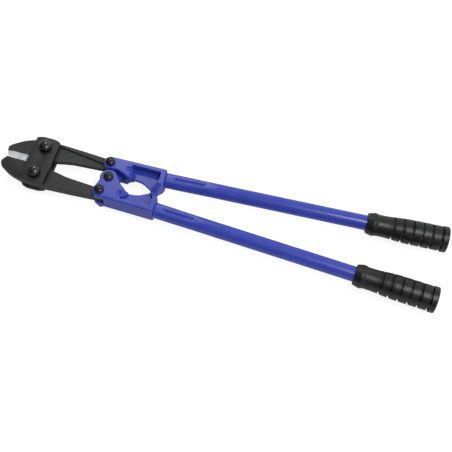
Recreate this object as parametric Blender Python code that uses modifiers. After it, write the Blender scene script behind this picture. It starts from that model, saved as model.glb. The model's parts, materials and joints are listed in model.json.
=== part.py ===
"""Bolt cutters: two long handles drive a pair of forged jaws through a compound lever.

Metres, +Z up.  The tool lies flat: X runs along it with the jaws at -X, Y runs across it and
the bolt heads face +Z.  It is modelled about the handles' common pivot and then shifted, so
that the origin ends up under the middle of the closed tool.

The two jaws turn on bolts held by a pair of straps.  Each jaw's tail sits in the fork of a
forged handle head, and the two heads are half-lapped on the handle pivot.  The lower side is
the upper side turned half a turn about X.
"""
import math

import bmesh
import bpy
from mathutils import Matrix, Vector

MM = 0.001
ARC_STEP = math.radians(15)     # widest turn of one chord of a rounded outline
ROUND_STEPS = 24                # facets around a turned piece

# Fits
GAP = 0.3 * MM                  # running gap between neighbouring pieces
OPEN_PIVOT_CLEARANCE = 3.3 * MM   # radial play where the closed linkage is opened

# Pivot places, about the handles' common pivot
LINK_LENGTH = 96.2 * MM         # jaw pivot to tail pivot, along X
JAW_PIVOT_Y = 21.3 * MM
TAIL_PIVOT_X = -5.3 * MM
TAIL_PIVOT_Y = 23.3 * MM

# Thickness stack, front to back
JAW_THICKNESS = 12.0 * MM
ARM_WEB = 7.0 * MM
STRAP_THICKNESS = 5.0 * MM
CHEEK_THICKNESS = 7.3 * MM
HEAD_WEB = 4.0 * MM
LUG_THICKNESS = 13.0 * MM

# Jaws
CUTTING_BEVEL = 5.0 * MM        # height of the ground bevel above the cutting edge
EDGE_LAND = 0.4 * MM            # flat left along the cutting edge
TAIL_RADIUS = 7.6 * MM
NOSE_FACET_TILT = math.radians(12)
CREASE_ANGLE = math.radians(39.4)
CREASE_PLACE = (-31.5 * MM, -6.8 * MM)   # about the jaw pivot

# Straps
STRAP_WIDTH = 34.8 * MM
STRAP_OVERHANG = 16.0 * MM      # past the jaw pivot, to the crown of the arched end
STRAP_CROWN = 3.0 * MM
STRAP_CORNER = 3.0 * MM
STRAP_EDGE = 0.6 * MM

# Bolts, nuts and lock washers
JAW_BOLT_RADIUS = 5.0 * MM
JAW_BOLT_HEAD_RADIUS = 9.0 * MM
JAW_BOLT_HEAD_HEIGHT = 10.0 * MM
JAW_NUT_FLATS = 17.0 * MM
JAW_NUT_HEIGHT = 8.0 * MM
TAIL_BOLT_RADIUS = 4.0 * MM
TAIL_BOLT_HEAD_RADIUS = 6.85 * MM
TAIL_BOLT_HEAD_HEIGHT = 5.8 * MM
TAIL_NUT_FLATS = 13.0 * MM
TAIL_NUT_HEIGHT = 6.5 * MM
WASHER_RIM = 4.6 * MM           # ring width of a lock washer
WASHER_THICKNESS = 2.2 * MM
WASHER_SPLIT = 1.2 * MM
THREAD_END = 1.5 * MM           # bolt end standing past its nut

# Handle heads
FORK_RADIUS = 9.8 * MM
LOBE_RADIUS = 12.2 * MM
HEAD_EDGE = 1.6 * MM            # rounding of the forging's outer edges
HEAD_CORNER = 2.2 * MM          # its corners are rounder than its edges
COLLAR_X = 75.3 * MM            # where the tube butts on the collar, on the tube's axis
COLLAR_Y = 25.0 * MM
COLLAR_WALL = 8.0 * MM          # along X, from the pocket to the collar's face
RIM_WIDTH = 5.4 * MM            # outer rim beside the pocket
EYE_HALF_HEIGHT = 11.0 * MM
LOBE_CORNER = (17.9 * MM, 4.1 * MM)    # where the lobe's edge turns towards the eye
EYE_START = (28.6 * MM, 12.6 * MM)
FINGER_TIP = (25.9 * MM, 5.6 * MM)     # end of the wall beside the other head's lobe
DIMPLE_PLACE = (22.9 * MM, 19.9 * MM)
DIMPLE_RADIUS = 3.8 * MM
DIMPLE_DEPTH = 1.4 * MM
HANDLE_SLOPE = math.radians(3.12)
SPIGOT_LENGTH = 38.0 * MM

# Tubes
TUBE_RADIUS = 10.5 * MM
TUBE_WALL = 1.8 * MM
TUBE_FLATTENING = 0.45 * MM     # wider in plane and thinner in Z by this, at the collar
TUBE_OVAL_LENGTH = 60.0 * MM

# Grips
GRIP_START = 284.0 * MM         # along the tube, from the collar
GRIP_LENGTH = 112.0 * MM
GRIP_END_WALL = 6.0 * MM
GRIP_FLARE_RADIUS = 16.1 * MM
GRIP_NECK_RADIUS = 15.0 * MM
GRIP_BODY_RADIUS = 17.1 * MM
GRIP_FIRST_GROOVE = 36.6 * MM
GRIP_GROOVE_PITCH = 13.2 * MM
GRIP_GROOVE_COUNT = 6
GRIP_GROOVE_WIDTH = 1.8 * MM
GRIP_GROOVE_DEPTH = 1.5 * MM

# Derived places
JAW_PIVOT = Vector((TAIL_PIVOT_X - LINK_LENGTH, JAW_PIVOT_Y))
TAIL_PIVOT = Vector((TAIL_PIVOT_X, TAIL_PIVOT_Y))
HANDLE_PIVOT = Vector((0.0, 0.0))
COLLAR_CENTRE = Vector((COLLAR_X, COLLAR_Y))
HANDLE_AXIS = Vector((math.cos(HANDLE_SLOPE), math.sin(HANDLE_SLOPE)))
JAW_HALF = JAW_THICKNESS / 2
HEAD_HALF = JAW_HALF + GAP + CHEEK_THICKNESS
STRAP_INNER = JAW_HALF + GAP
STRAP_OUTER = STRAP_INNER + STRAP_THICKNESS
COLLAR_HALF_WIDTH = TUBE_RADIUS - 0.5 * MM
OUTER_Y = COLLAR_Y + COLLAR_HALF_WIDTH
TUBE_END = GRIP_START + GRIP_LENGTH - GRIP_END_WALL - GAP
PAST = 30.0 * MM                # how far a cutter reaches past what it cuts

# Finishes: colour, roughness, metallic
FINISHES = {
    "jaw_steel": ((0.060, 0.060, 0.062), 0.50, 0.7),
    "strap_steel": ((0.065, 0.065, 0.067), 0.50, 0.7),
    "bolt_steel": ((0.030, 0.030, 0.032), 0.25, 0.9),
    "blue_paint": ((0.050, 0.056, 0.42), 0.35, 0.0),
    "grip_rubber": ((0.030, 0.030, 0.031), 0.60, 0.0),
}


# ---------------------------------------------------------------- scene and materials
def clear_scene():
    """Remove every object that the start-up file holds."""
    for item in list(bpy.data.objects):
        bpy.data.objects.remove(item, do_unlink=True)


def make_collection(name):
    """Add a collection to the scene."""
    group = bpy.data.collections.new(name)
    bpy.context.scene.collection.children.link(group)
    return group


def finish(piece, name):
    """Give a piece its own Principled material in a named finish."""
    colour, roughness, metallic = FINISHES[name]
    material = bpy.data.materials.new(piece.name)
    material.use_nodes = True
    shader = material.node_tree.nodes["Principled BSDF"]
    shader.inputs["Base Color"].default_value = (*colour, 1.0)
    shader.inputs["Roughness"].default_value = roughness
    shader.inputs["Metallic"].default_value = metallic
    piece.data.materials.clear()
    piece.data.materials.append(material)


clear_scene()
PARTS = make_collection("bolt_cutters")
CUTTERS = make_collection("cutters")


def make_empty(name, place, parent=None):
    """Add an empty that carries the pieces of one moving body."""
    empty = bpy.data.objects.new(name, None)
    empty.empty_display_size = 10 * MM
    empty.location = place
    empty.parent = parent
    PARTS.objects.link(empty)
    return empty


def add_object(name, mesh, parent, turned=False, cutter=False):
    """Link a mesh under its pivot; a lower piece is turned half a turn about X."""
    item = bpy.data.objects.new(name, mesh)
    item.parent = parent
    if turned:
        item.rotation_euler = (math.pi, 0, 0)
    if cutter:
        item.display_type = 'WIRE'
        item.hide_render = True
    group = CUTTERS if cutter else PARTS
    group.objects.link(item)
    return item


# ---------------------------------------------------------------- outlines
def arc(centre, radius, start, end):
    """Points along an arc; angles in degrees, counter-clockwise when end is larger."""
    first = math.radians(start)
    sweep = math.radians(end - start)
    count = max(2, math.ceil(abs(sweep) / ARC_STEP))
    angles = [first + sweep * i / count for i in range(count + 1)]
    return [(centre[0] + radius * math.cos(a), centre[1] + radius * math.sin(a)) for a in angles]


def rounded(corners):
    """Turn corners (x, y, radius) into an outline with each corner replaced by an arc."""
    points = []
    total = len(corners)
    for i, (x, y, radius) in enumerate(corners):
        here = Vector((x, y))
        to_last = (Vector(corners[i - 1][:2]) - here).normalized()
        to_next = (Vector(corners[(i + 1) % total][:2]) - here).normalized()
        if radius == 0:
            points.append((x, y))
            continue
        half = to_last.angle(to_next) / 2
        centre = here + (to_last + to_next).normalized() * radius / math.sin(half)
        first = here + to_last * radius / math.tan(half) - centre
        last = here + to_next * radius / math.tan(half) - centre
        sweep = -first.angle_signed(last)
        count = max(1, math.ceil(abs(sweep) / ARC_STEP))
        for step in range(count + 1):
            turned = first.copy()
            turned.rotate(Matrix.Rotation(sweep * step / count, 2))
            points.append(tuple(centre + turned))
    return points


def flat_mesh(name, loops, low, high, origin):
    """A flat outline between two heights, as a closed mesh about an origin."""
    curve = bpy.data.curves.new(name, 'CURVE')
    curve.dimensions = '2D'
    curve.fill_mode = 'BOTH'
    curve.extrude = (high - low) / 2
    for loop in loops:
        spline = curve.splines.new('POLY')
        spline.points.add(len(loop) - 1)
        for point, (x, y) in zip(spline.points, loop):
            point.co = (x - origin[0], y - origin[1], 0, 1)
        spline.use_cyclic_u = True
    holder = bpy.data.objects.new(name, curve)
    bpy.context.scene.collection.objects.link(holder)
    graph = bpy.context.evaluated_depsgraph_get()
    mesh = bpy.data.meshes.new_from_object(holder.evaluated_get(graph))
    bpy.data.objects.remove(holder, do_unlink=True)
    bpy.data.curves.remove(curve)
    mesh.transform(Matrix.Translation((0, 0, (low + high) / 2)))
    work = bmesh.new()
    work.from_mesh(mesh)
    bmesh.ops.remove_doubles(work, verts=work.verts, dist=0.001 * MM)
    if len(loops) == 1:
        bmesh.ops.dissolve_limit(work, angle_limit=0.001, verts=work.verts, edges=work.edges)
    bmesh.ops.recalc_face_normals(work, faces=work.faces)
    work.to_mesh(mesh)
    work.free()
    return mesh


def box_mesh(name, size, place, turn):
    """A box of a size, with its base's centre at a place in a turned frame."""
    work = bmesh.new()
    bmesh.ops.create_cube(work, size=1)
    mesh = bpy.data.meshes.new(name)
    work.to_mesh(mesh)
    work.free()
    mesh.transform(Matrix.Diagonal((*size, 1)) @ Matrix.Translation((0, 0, 0.5)))
    mesh.transform(Matrix.Translation(place) @ turn)
    return mesh


def cylinder_mesh(name, radius, low, high, centre=(0, 0), sides=ROUND_STEPS):
    """An upright cylinder between two heights."""
    work = bmesh.new()
    bmesh.ops.create_cone(work, cap_ends=True, segments=sides, radius1=radius,
                          radius2=radius, depth=high - low)
    mesh = bpy.data.meshes.new(name)
    work.to_mesh(mesh)
    work.free()
    mesh.transform(Matrix.Translation((*centre, (low + high) / 2)))
    return mesh


def smooth_mesh(mesh):
    """Shade a round mesh smooth, with its real edges sharp."""
    mesh.shade_smooth()
    mesh.set_sharp_from_angle(angle=math.radians(30))


def boolean(piece, operation, mesh, label):
    """Cut a piece by, or join it to, a mesh in the piece's own frame."""
    turned = piece.rotation_euler.x != 0
    tool = add_object(f"{piece.name}_{label}", mesh, piece.parent, turned, cutter=True)
    step = piece.modifiers.new(label, 'BOOLEAN')
    step.operation = operation
    step.solver = 'EXACT'
    step.object = tool


def bevel(piece, width, segments=1):
    """Round the sharp edges of a piece."""
    step = piece.modifiers.new("edge", 'BEVEL')
    step.width = width
    step.segments = segments
    step.limit_method = 'ANGLE'
    step.angle_limit = math.radians(40)


def turned_piece(name, profile, parent):
    """A profile of (radius, height) points turned about Z with a Screw modifier."""
    mesh = bpy.data.meshes.new(name)
    mesh.from_pydata([(r, 0, z) for r, z in profile],
                     [(i, i + 1) for i in range(len(profile) - 1)], [])
    piece = add_object(name, mesh, parent)
    screw = piece.modifiers.new("turn", 'SCREW')
    screw.steps = ROUND_STEPS
    screw.render_steps = ROUND_STEPS
    screw.use_merge_vertices = True
    screw.merge_threshold = 0.01 * MM
    return piece


def round_face(mesh, height, width):
    """Round the edges around a flat mesh's face at a height."""
    work = bmesh.new()
    work.from_mesh(mesh)
    rim = [edge for edge in work.edges
           if all(abs(vertex.co.z - height) < 0.01 * MM for vertex in edge.verts)
           and edge.calc_face_angle() > math.radians(40)]
    bmesh.ops.bevel(work, geom=rim, offset=width, segments=2, profile=0.5, affect='EDGES')
    work.to_mesh(mesh)
    work.free()
    return mesh


def around(centre, radius):
    """A full circle as an outline."""
    return arc(centre, radius, 0, 360)[:-1]


# ---------------------------------------------------------------- straps
def make_strap(name, parent, low, high):
    """Side plate: straight sides, arched ends and a hole for each jaw bolt."""
    half = STRAP_WIDTH / 2
    crown = JAW_PIVOT_Y + STRAP_OVERHANG
    shoulder = crown - STRAP_CROWN
    quarter = half / 2
    right = [(half, -shoulder, STRAP_CORNER), (half, shoulder, STRAP_CORNER)]
    top = [(quarter, crown, half), (-quarter, crown, half)]
    left = [(-half, shoulder, STRAP_CORNER), (-half, -shoulder, STRAP_CORNER)]
    bottom = [(-quarter, -crown, half), (quarter, -crown, half)]
    outline = rounded(right + top + left + bottom)
    hole = JAW_BOLT_RADIUS + GAP
    holes = [around((0, side * JAW_PIVOT_Y), hole) for side in (1, -1)]
    piece = add_object(name, flat_mesh(name, [outline, *holes], low, high, (0, 0)), parent)
    bevel(piece, STRAP_EDGE)
    finish(piece, "strap_steel")


# ---------------------------------------------------------------- jaws
def nose_corners(upper):
    """Corners of a jaw's nose, about the jaw pivot, from the crown down to the cutting tip."""
    centre_line = GAP / 2 - JAW_PIVOT_Y
    crown = [(-16.5 * MM, 12.7 * MM, 40 * MM), (-34.5 * MM, 6.4 * MM, 40 * MM)]
    if upper:
        front = [(-50.0 * MM, -4.6 * MM, 8 * MM), (-53.3 * MM, -9.4 * MM, 1 * MM)]
        tip = [(-49.2 * MM, centre_line, 0.3 * MM)]
    else:
        front = [(-50.6 * MM, -3.2 * MM, 6 * MM), (-53.0 * MM, -9.6 * MM, 5 * MM)]
        tip = [(-47.4 * MM, -15.8 * MM, 3 * MM), (-46.6 * MM, centre_line, 0.3 * MM)]
    return [(JAW_PIVOT.x + x, JAW_PIVOT.y + y, r) for x, y, r in crown + front + tip]


def jaw_outline(upper):
    """Blade, body and arm of a jaw, anticlockwise, in the tool's frame."""
    edge = GAP / 2
    heel_x = JAW_PIVOT.x - 12.0 * MM
    neck_x = JAW_PIVOT.x + STRAP_WIDTH / 2
    inner = [
        (heel_x, edge, 4 * MM),
        (neck_x, JAW_PIVOT_Y - 14.5 * MM, 30 * MM),
        (JAW_PIVOT.x + 42.0 * MM, JAW_PIVOT_Y - 9.3 * MM, 60 * MM),
    ]
    tail = arc(TAIL_PIVOT, TAIL_RADIUS, -92, 88)
    outer = [
        (JAW_PIVOT.x + 54.0 * MM, TAIL_PIVOT_Y + 10.2 * MM, 60 * MM),
        (neck_x, JAW_PIVOT_Y + 13.9 * MM, 30 * MM),
        (JAW_PIVOT.x, JAW_PIVOT_Y + 14.6 * MM, 40 * MM),
    ]
    corners = inner + [(x, y, 0) for x, y in tail] + outer + nose_corners(upper)
    return rounded(corners)


def arm_recess_outline():
    """Hollow of the arm's face: it leaves a rim along the outer edge and a boss at the tail."""
    start_x = JAW_PIVOT.x + STRAP_WIDTH / 2 - 4.0 * MM
    end_x = TAIL_PIVOT.x - TAIL_RADIUS - 1.5 * MM
    return rounded([
        (start_x, 0, 0),
        (end_x, 0, 0),
        (end_x, TAIL_PIVOT_Y - 0.9 * MM, 2 * MM),
        (JAW_PIVOT.x + 53.0 * MM, TAIL_PIVOT_Y + 3.7 * MM, 60 * MM),
        (start_x, JAW_PIVOT_Y + 10.6 * MM, 4 * MM),
    ])


def face_cutter(name, along, angle, tilt, height):
    """A box whose base is a plane through a line on a face, sloping down to the line's left."""
    turn = Matrix.Rotation(angle, 4, 'Z') @ Matrix.Rotation(-tilt, 4, 'X')
    place = (along[0] - JAW_PIVOT.x, along[1] - JAW_PIVOT.y, height)
    return box_mesh(name, (8 * PAST, 8 * PAST, PAST), place, turn)


def make_jaw(name, parent, upper):
    """Forged jaw: bevelled cutting edge, facetted nose, recessed arm and drilled pivots."""
    mesh = flat_mesh(name, [jaw_outline(upper)], -JAW_HALF, JAW_HALF, JAW_PIVOT)
    piece = add_object(name, mesh, parent, turned=not upper)
    bevel(piece, 0.5 * MM)
    recess = [arm_recess_outline()]
    crease = JAW_PIVOT + Vector(CREASE_PLACE)
    rise = CUTTING_BEVEL
    run = JAW_HALF - EDGE_LAND / 2
    bevel_end = STRAP_WIDTH / 2 - 2.0 * MM
    for face, sign in (("front", 1), ("back", -1)):
        low, high = sorted((sign * ARM_WEB / 2, sign * (JAW_HALF + PAST)))
        boolean(piece, 'DIFFERENCE', flat_mesh("recess", recess, low, high, JAW_PIVOT),
                f"{face}_recess")
        mirror = Matrix.Diagonal((1, 1, sign, 1))
        facet = face_cutter("facet", crease, CREASE_ANGLE, NOSE_FACET_TILT, JAW_HALF)
        facet.transform(mirror)
        if sign < 0:
            facet.flip_normals()
        boolean(piece, 'DIFFERENCE', facet, f"{face}_nose_facet")
        wedge = flat_mesh("wedge", [[(0, 0), (-rise - PAST * rise / run, run + PAST),
                                     (PAST, run + PAST), (PAST, 0)]], 0, 4 * PAST, (0, 0))
        stand = Matrix(((0, 0, -1, 0), (-1, 0, 0, 0), (0, 1, 0, 0), (0, 0, 0, 1)))
        wedge.transform(stand)
        wedge.transform(mirror)
        if sign < 0:
            wedge.flip_normals()
        shift = (-bevel_end, GAP / 2 - JAW_PIVOT_Y, sign * EDGE_LAND / 2)
        wedge.transform(Matrix.Translation(shift))
        boolean(piece, 'DIFFERENCE', wedge, f"{face}_bevel")
    reach = JAW_HALF + PAST
    link = TAIL_PIVOT - JAW_PIVOT
    jaw_hole = cylinder_mesh("hole", JAW_BOLT_RADIUS + GAP, -reach, reach)
    tail_hole = cylinder_mesh("hole", TAIL_BOLT_RADIUS + GAP, -reach, reach, tuple(link))
    boolean(piece, 'DIFFERENCE', jaw_hole, "jaw_bolt_hole")
    boolean(piece, 'DIFFERENCE', tail_hole, "tail_bolt_hole")
    finish(piece, "jaw_steel")


# ---------------------------------------------------------------- bolts, nuts and washers
def make_bolt(name, parent, place, seat, radius, head_radius, head_height, nut_height):
    """Domed bolt, its lock washer and its nut, through a stack of half thickness seat."""
    top = seat + GAP + head_height
    rim = seat + GAP + head_height * 0.45
    dome = [(head_radius * math.sin(a), rim + (top - rim) * math.cos(a))
            for a in [math.pi / 2 * i / 5 for i in range(1, 6)]]
    washer_top = -seat - GAP
    nut_top = washer_top - WASHER_THICKNESS - GAP
    end = nut_top - nut_height - THREAD_END
    shank = [(head_radius, seat + GAP), (radius, seat + GAP), (radius, end + 0.8 * MM),
             (radius - 0.8 * MM, end), (0, end)]
    bolt = turned_piece(f"{name}_bolt", [(0, top), *dome, *shank], parent)
    bolt.location = (*place, 0)
    finish(bolt, "bolt_steel")
    return washer_top, nut_top


def make_washer(name, parent, place, top, radius):
    """Split lock washer around a bolt."""
    inner = radius + GAP
    outer = radius + WASHER_RIM
    low = top - WASHER_THICKNESS
    outer_gap = math.degrees(math.asin(WASHER_SPLIT / 2 / outer))
    inner_gap = math.degrees(math.asin(WASHER_SPLIT / 2 / inner))
    ring = arc((0, 0), outer, outer_gap, 360 - outer_gap)
    ring += arc((0, 0), inner, 360 - inner_gap, inner_gap)
    mesh = flat_mesh(name, [ring], low, top, (0, 0))
    washer = add_object(f"{name}_lock_washer", mesh, parent)
    washer.location = (*place, 0)
    finish(washer, "bolt_steel")


def make_nut(name, parent, place, top, radius, flats, height):
    """Chamfered hexagon nut on the end of a bolt."""
    corner = flats / math.sqrt(3)
    low = top - height
    nut = add_object(f"{name}_nut", cylinder_mesh(name, corner, low, top, sides=6), parent)
    nut.location = (*place, 0)
    bevel(nut, 0.7 * MM)
    boolean(nut, 'DIFFERENCE', cylinder_mesh("bore", radius + GAP, low - PAST, top + PAST, place),
            "bore")
    finish(nut, "bolt_steel")


def make_joint_hardware(name, parent, place, seat, big):
    """The bolt, lock washer and nut of one pivot."""
    radius = JAW_BOLT_RADIUS if big else TAIL_BOLT_RADIUS
    head_radius = JAW_BOLT_HEAD_RADIUS if big else TAIL_BOLT_HEAD_RADIUS
    head_height = JAW_BOLT_HEAD_HEIGHT if big else TAIL_BOLT_HEAD_HEIGHT
    flats = JAW_NUT_FLATS if big else TAIL_NUT_FLATS
    nut_height = JAW_NUT_HEIGHT if big else TAIL_NUT_HEIGHT
    washer_top, nut_top = make_bolt(name, parent, place, seat, radius, head_radius,
                                    head_height, nut_height)
    make_washer(name, parent, place, washer_top, radius)
    make_nut(name, parent, place, nut_top, radius, flats, nut_height)


# ---------------------------------------------------------------- handle heads
def square_to_handle(y):
    """Where the collar's end face, square to the tube, lies at a height y."""
    return COLLAR_X - (y - COLLAR_Y) * math.tan(HANDLE_SLOPE)


def rear_corners():
    """The corners that both layers of a head share: eye edge, stop lug, collar and rim."""
    step_y = COLLAR_Y - COLLAR_HALF_WIDTH - 1.0 * MM
    return [
        (33.5 * MM, EYE_HALF_HEIGHT + 0.8 * MM, 8 * MM),
        (46.0 * MM, EYE_HALF_HEIGHT - 0.4 * MM, 30 * MM),
        (COLLAR_X - 14.0 * MM, 1.4 * MM, 1 * MM),
        (COLLAR_X - 12.8 * MM, GAP / 2, 0),
        (COLLAR_X - 5.8 * MM, GAP / 2, HEAD_CORNER),
        (square_to_handle(step_y), step_y, HEAD_CORNER),
        (square_to_handle(OUTER_Y), OUTER_Y, HEAD_CORNER),
    ]


def recessed_outline():
    """The half of a head that clears the other head's lobe, anticlockwise, in the tool's frame."""
    wall = [
        (7.0 * MM, LOBE_RADIUS + 2.1 * MM, 6 * MM),
        (17.0 * MM, LOBE_RADIUS - 1.2 * MM, 8 * MM),
        (*FINGER_TIP, HEAD_CORNER),
        (28.3 * MM, 9.3 * MM, 1 * MM),
    ]
    fork = [(x, y, 0) for x, y in arc(TAIL_PIVOT, FORK_RADIUS, 92, 270)]
    return rounded(wall + rear_corners() + fork)


def lobed_outline():
    """The half of a head that carries its pivot lobe, anticlockwise, in the tool's frame."""
    corner = Vector(LOBE_CORNER)
    corner_angle = math.degrees(math.atan2(corner.y, corner.x))
    leave = corner_angle - math.degrees(math.acos(LOBE_RADIUS / corner.length))
    disc = [(x, y, 0) for x, y in arc(HANDLE_PIVOT, LOBE_RADIUS, 150, 360 + leave)]
    edge = [(*LOBE_CORNER, 1 * MM), (*EYE_START, 1 * MM)]
    fork = [(x, y, 0) for x, y in arc(TAIL_PIVOT, FORK_RADIUS, 92, 210)]
    waist = [(TAIL_PIVOT_X - 0.62 * FORK_RADIUS, TAIL_PIVOT_Y - 1.2 * FORK_RADIUS, 3 * MM)]
    return rounded(disc + edge + rear_corners() + fork + waist)


def pocket_outline():
    """Pocket between the rims; it runs out over the edge of the eye."""
    wall_x = COLLAR_X - COLLAR_WALL
    top_y = OUTER_Y - RIM_WIDTH
    return rounded([
        (24.3 * MM, top_y, 2.5 * MM),
        (28.6 * MM, 22.0 * MM, 5 * MM),
        (29.0 * MM, 9.0 * MM, 3 * MM),
        (29.5 * MM, -PAST, 0),
        (COLLAR_X - 15.0 * MM, -PAST, 0),
        (COLLAR_X - 14.5 * MM, 2.4 * MM, 2 * MM),
        (wall_x, 13.0 * MM, 8 * MM),
        (wall_x, top_y, 3 * MM),
    ])


def slot_outline():
    """Fork slot, open at its end and on its outer side, so that the jaw can swing out."""
    reach = TAIL_RADIUS + 0.8 * MM
    floor_y = TAIL_PIVOT_Y - FORK_RADIUS
    return rounded([
        (TAIL_PIVOT_X - PAST, floor_y, 0),
        (TAIL_PIVOT_X + reach, floor_y, reach),
        (TAIL_PIVOT_X + reach, TAIL_PIVOT_Y + PAST, 0),
        (TAIL_PIVOT_X - PAST, TAIL_PIVOT_Y + PAST, 0),
    ])


def oval_ring(work, along, wide, thick):
    """A ring of vertices across the handle's axis."""
    ring = []
    for i in range(ROUND_STEPS):
        angle = math.tau * i / ROUND_STEPS
        ring.append(work.verts.new((along, wide * math.cos(angle), thick * math.sin(angle))))
    return ring


def bridge(work, first, second):
    """Quads between two rings, facing out when the second ring lies further along."""
    total = len(first)
    for i in range(total):
        j = (i + 1) % total
        work.faces.new((first[i], first[j], second[j], second[i]))


def along_handle(mesh, offset=0.0):
    """Place a mesh, made along X, on the handle's axis, about the tail pivot."""
    start = COLLAR_CENTRE + HANDLE_AXIS * offset - TAIL_PIVOT
    mesh.transform(Matrix.Translation((*start, 0)) @ Matrix.Rotation(HANDLE_SLOPE, 4, 'Z'))
    return mesh


def spigot_mesh():
    """Oval spigot that the tube is pressed onto, with its root inside the collar."""
    wide = TUBE_RADIUS + TUBE_FLATTENING - TUBE_WALL - GAP
    thick = TUBE_RADIUS - TUBE_FLATTENING - TUBE_WALL - GAP
    shrink = 2 * TUBE_FLATTENING
    work = bmesh.new()
    rings = [
        oval_ring(work, -COLLAR_WALL / 2, wide, thick),
        oval_ring(work, 0.0, wide, thick),
        oval_ring(work, SPIGOT_LENGTH - 2 * MM, wide - shrink, thick - shrink / 4),
        oval_ring(work, SPIGOT_LENGTH, wide - shrink - 1.5 * MM, thick - 1.5 * MM),
    ]
    for first, second in zip(rings, rings[1:]):
        bridge(work, first, second)
    work.faces.new(list(reversed(rings[0])))
    work.faces.new(rings[-1])
    bmesh.ops.recalc_face_normals(work, faces=work.faces)
    mesh = bpy.data.meshes.new("spigot")
    work.to_mesh(mesh)
    work.free()
    return along_handle(mesh)


def dimple_mesh(sign):
    """A ball that leaves a shallow round dimple in a head's face."""
    ball_radius = (DIMPLE_RADIUS ** 2 + DIMPLE_DEPTH ** 2) / (2 * DIMPLE_DEPTH)
    work = bmesh.new()
    bmesh.ops.create_uvsphere(work, u_segments=ROUND_STEPS, v_segments=ROUND_STEPS,
                              radius=ball_radius)
    mesh = bpy.data.meshes.new("dimple")
    work.to_mesh(mesh)
    work.free()
    height = sign * (HEAD_HALF - DIMPLE_DEPTH + ball_radius)
    place = (DIMPLE_PLACE[0] - TAIL_PIVOT_X, DIMPLE_PLACE[1] - TAIL_PIVOT_Y, height)
    mesh.transform(Matrix.Translation(place))
    return mesh


def make_head(name, parent, upper):
    """Forged handle head: fork, half-lapped pivot lobe, pocketed body, stop lug and spigot."""
    overlap = -GAP / 2 - 1.0 * MM
    recessed = flat_mesh(name, [recessed_outline()], overlap, HEAD_HALF, TAIL_PIVOT)
    lobed = flat_mesh("lobe", [lobed_outline()], -HEAD_HALF, -GAP / 2, TAIL_PIVOT)
    piece = add_object(name, round_face(recessed, HEAD_HALF, HEAD_EDGE), parent,
                       turned=not upper)
    boolean(piece, 'UNION', round_face(lobed, -HEAD_HALF, HEAD_EDGE), "lobe")
    boolean(piece, 'UNION', spigot_mesh(), "spigot")
    pocket = [pocket_outline()]
    for face, sign in (("front", 1), ("back", -1)):
        low, high = sorted((sign * HEAD_WEB / 2, sign * (HEAD_HALF + PAST)))
        boolean(piece, 'DIFFERENCE', flat_mesh("pocket", pocket, low, high, TAIL_PIVOT),
                f"{face}_pocket")
        slope = math.atan2(HEAD_HALF - LUG_THICKNESS / 2, 11.0 * MM)
        turn = Matrix.Rotation(sign * slope, 4, 'X') @ Matrix.Diagonal((1, 1, sign, 1))
        place = (COLLAR_X - TAIL_PIVOT_X, -TAIL_PIVOT_Y, sign * LUG_THICKNESS / 2)
        ramp = box_mesh("ramp", (2 * PAST, 2 * PAST, PAST), place, turn)
        if sign < 0:
            ramp.flip_normals()
        boolean(piece, 'DIFFERENCE', ramp, f"{face}_lug_ramp")
        boolean(piece, 'DIFFERENCE', dimple_mesh(sign), f"{face}_dimple")
    slot_half = JAW_HALF + GAP
    slot = flat_mesh("slot", [slot_outline()], -slot_half, slot_half, TAIL_PIVOT)
    boolean(piece, 'DIFFERENCE', slot, "slot")
    reach = HEAD_HALF + PAST
    play = OPEN_PIVOT_CLEARANCE if upper else GAP
    tail_hole = cylinder_mesh("hole", TAIL_BOLT_RADIUS + GAP, -reach, reach)
    pivot_hole = cylinder_mesh("hole", TAIL_BOLT_RADIUS + play, -reach, reach,
                               tuple(HANDLE_PIVOT - TAIL_PIVOT))
    boolean(piece, 'DIFFERENCE', tail_hole, "tail_bolt_hole")
    boolean(piece, 'DIFFERENCE', pivot_hole, "pivot_bolt_hole")
    finish(piece, "blue_paint")


# ---------------------------------------------------------------- tubes and grips
def make_tube(name, parent, upper):
    """Steel tube, pressed slightly oval where it goes over the head's spigot."""
    stations = [(GAP, 1.0), (TUBE_OVAL_LENGTH * 0.4, 0.9), (TUBE_OVAL_LENGTH * 0.7, 0.4),
                (TUBE_OVAL_LENGTH, 0.0), (TUBE_END, 0.0)]
    work = bmesh.new()
    walls = []
    for inset in (0.0, TUBE_WALL):
        rings = [oval_ring(work, along, TUBE_RADIUS - inset + TUBE_FLATTENING * share,
                           TUBE_RADIUS - inset - TUBE_FLATTENING * share)
                 for along, share in stations]
        for first, second in zip(rings, rings[1:]):
            bridge(work, first, second)
        walls.append(rings)
    bridge(work, walls[0][0], walls[1][0])
    bridge(work, walls[0][-1], walls[1][-1])
    bmesh.ops.recalc_face_normals(work, faces=work.faces)
    mesh = bpy.data.meshes.new(name)
    work.to_mesh(mesh)
    work.free()
    smooth_mesh(mesh)
    piece = add_object(name, along_handle(mesh), parent, turned=not upper)
    finish(piece, "blue_paint")


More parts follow.
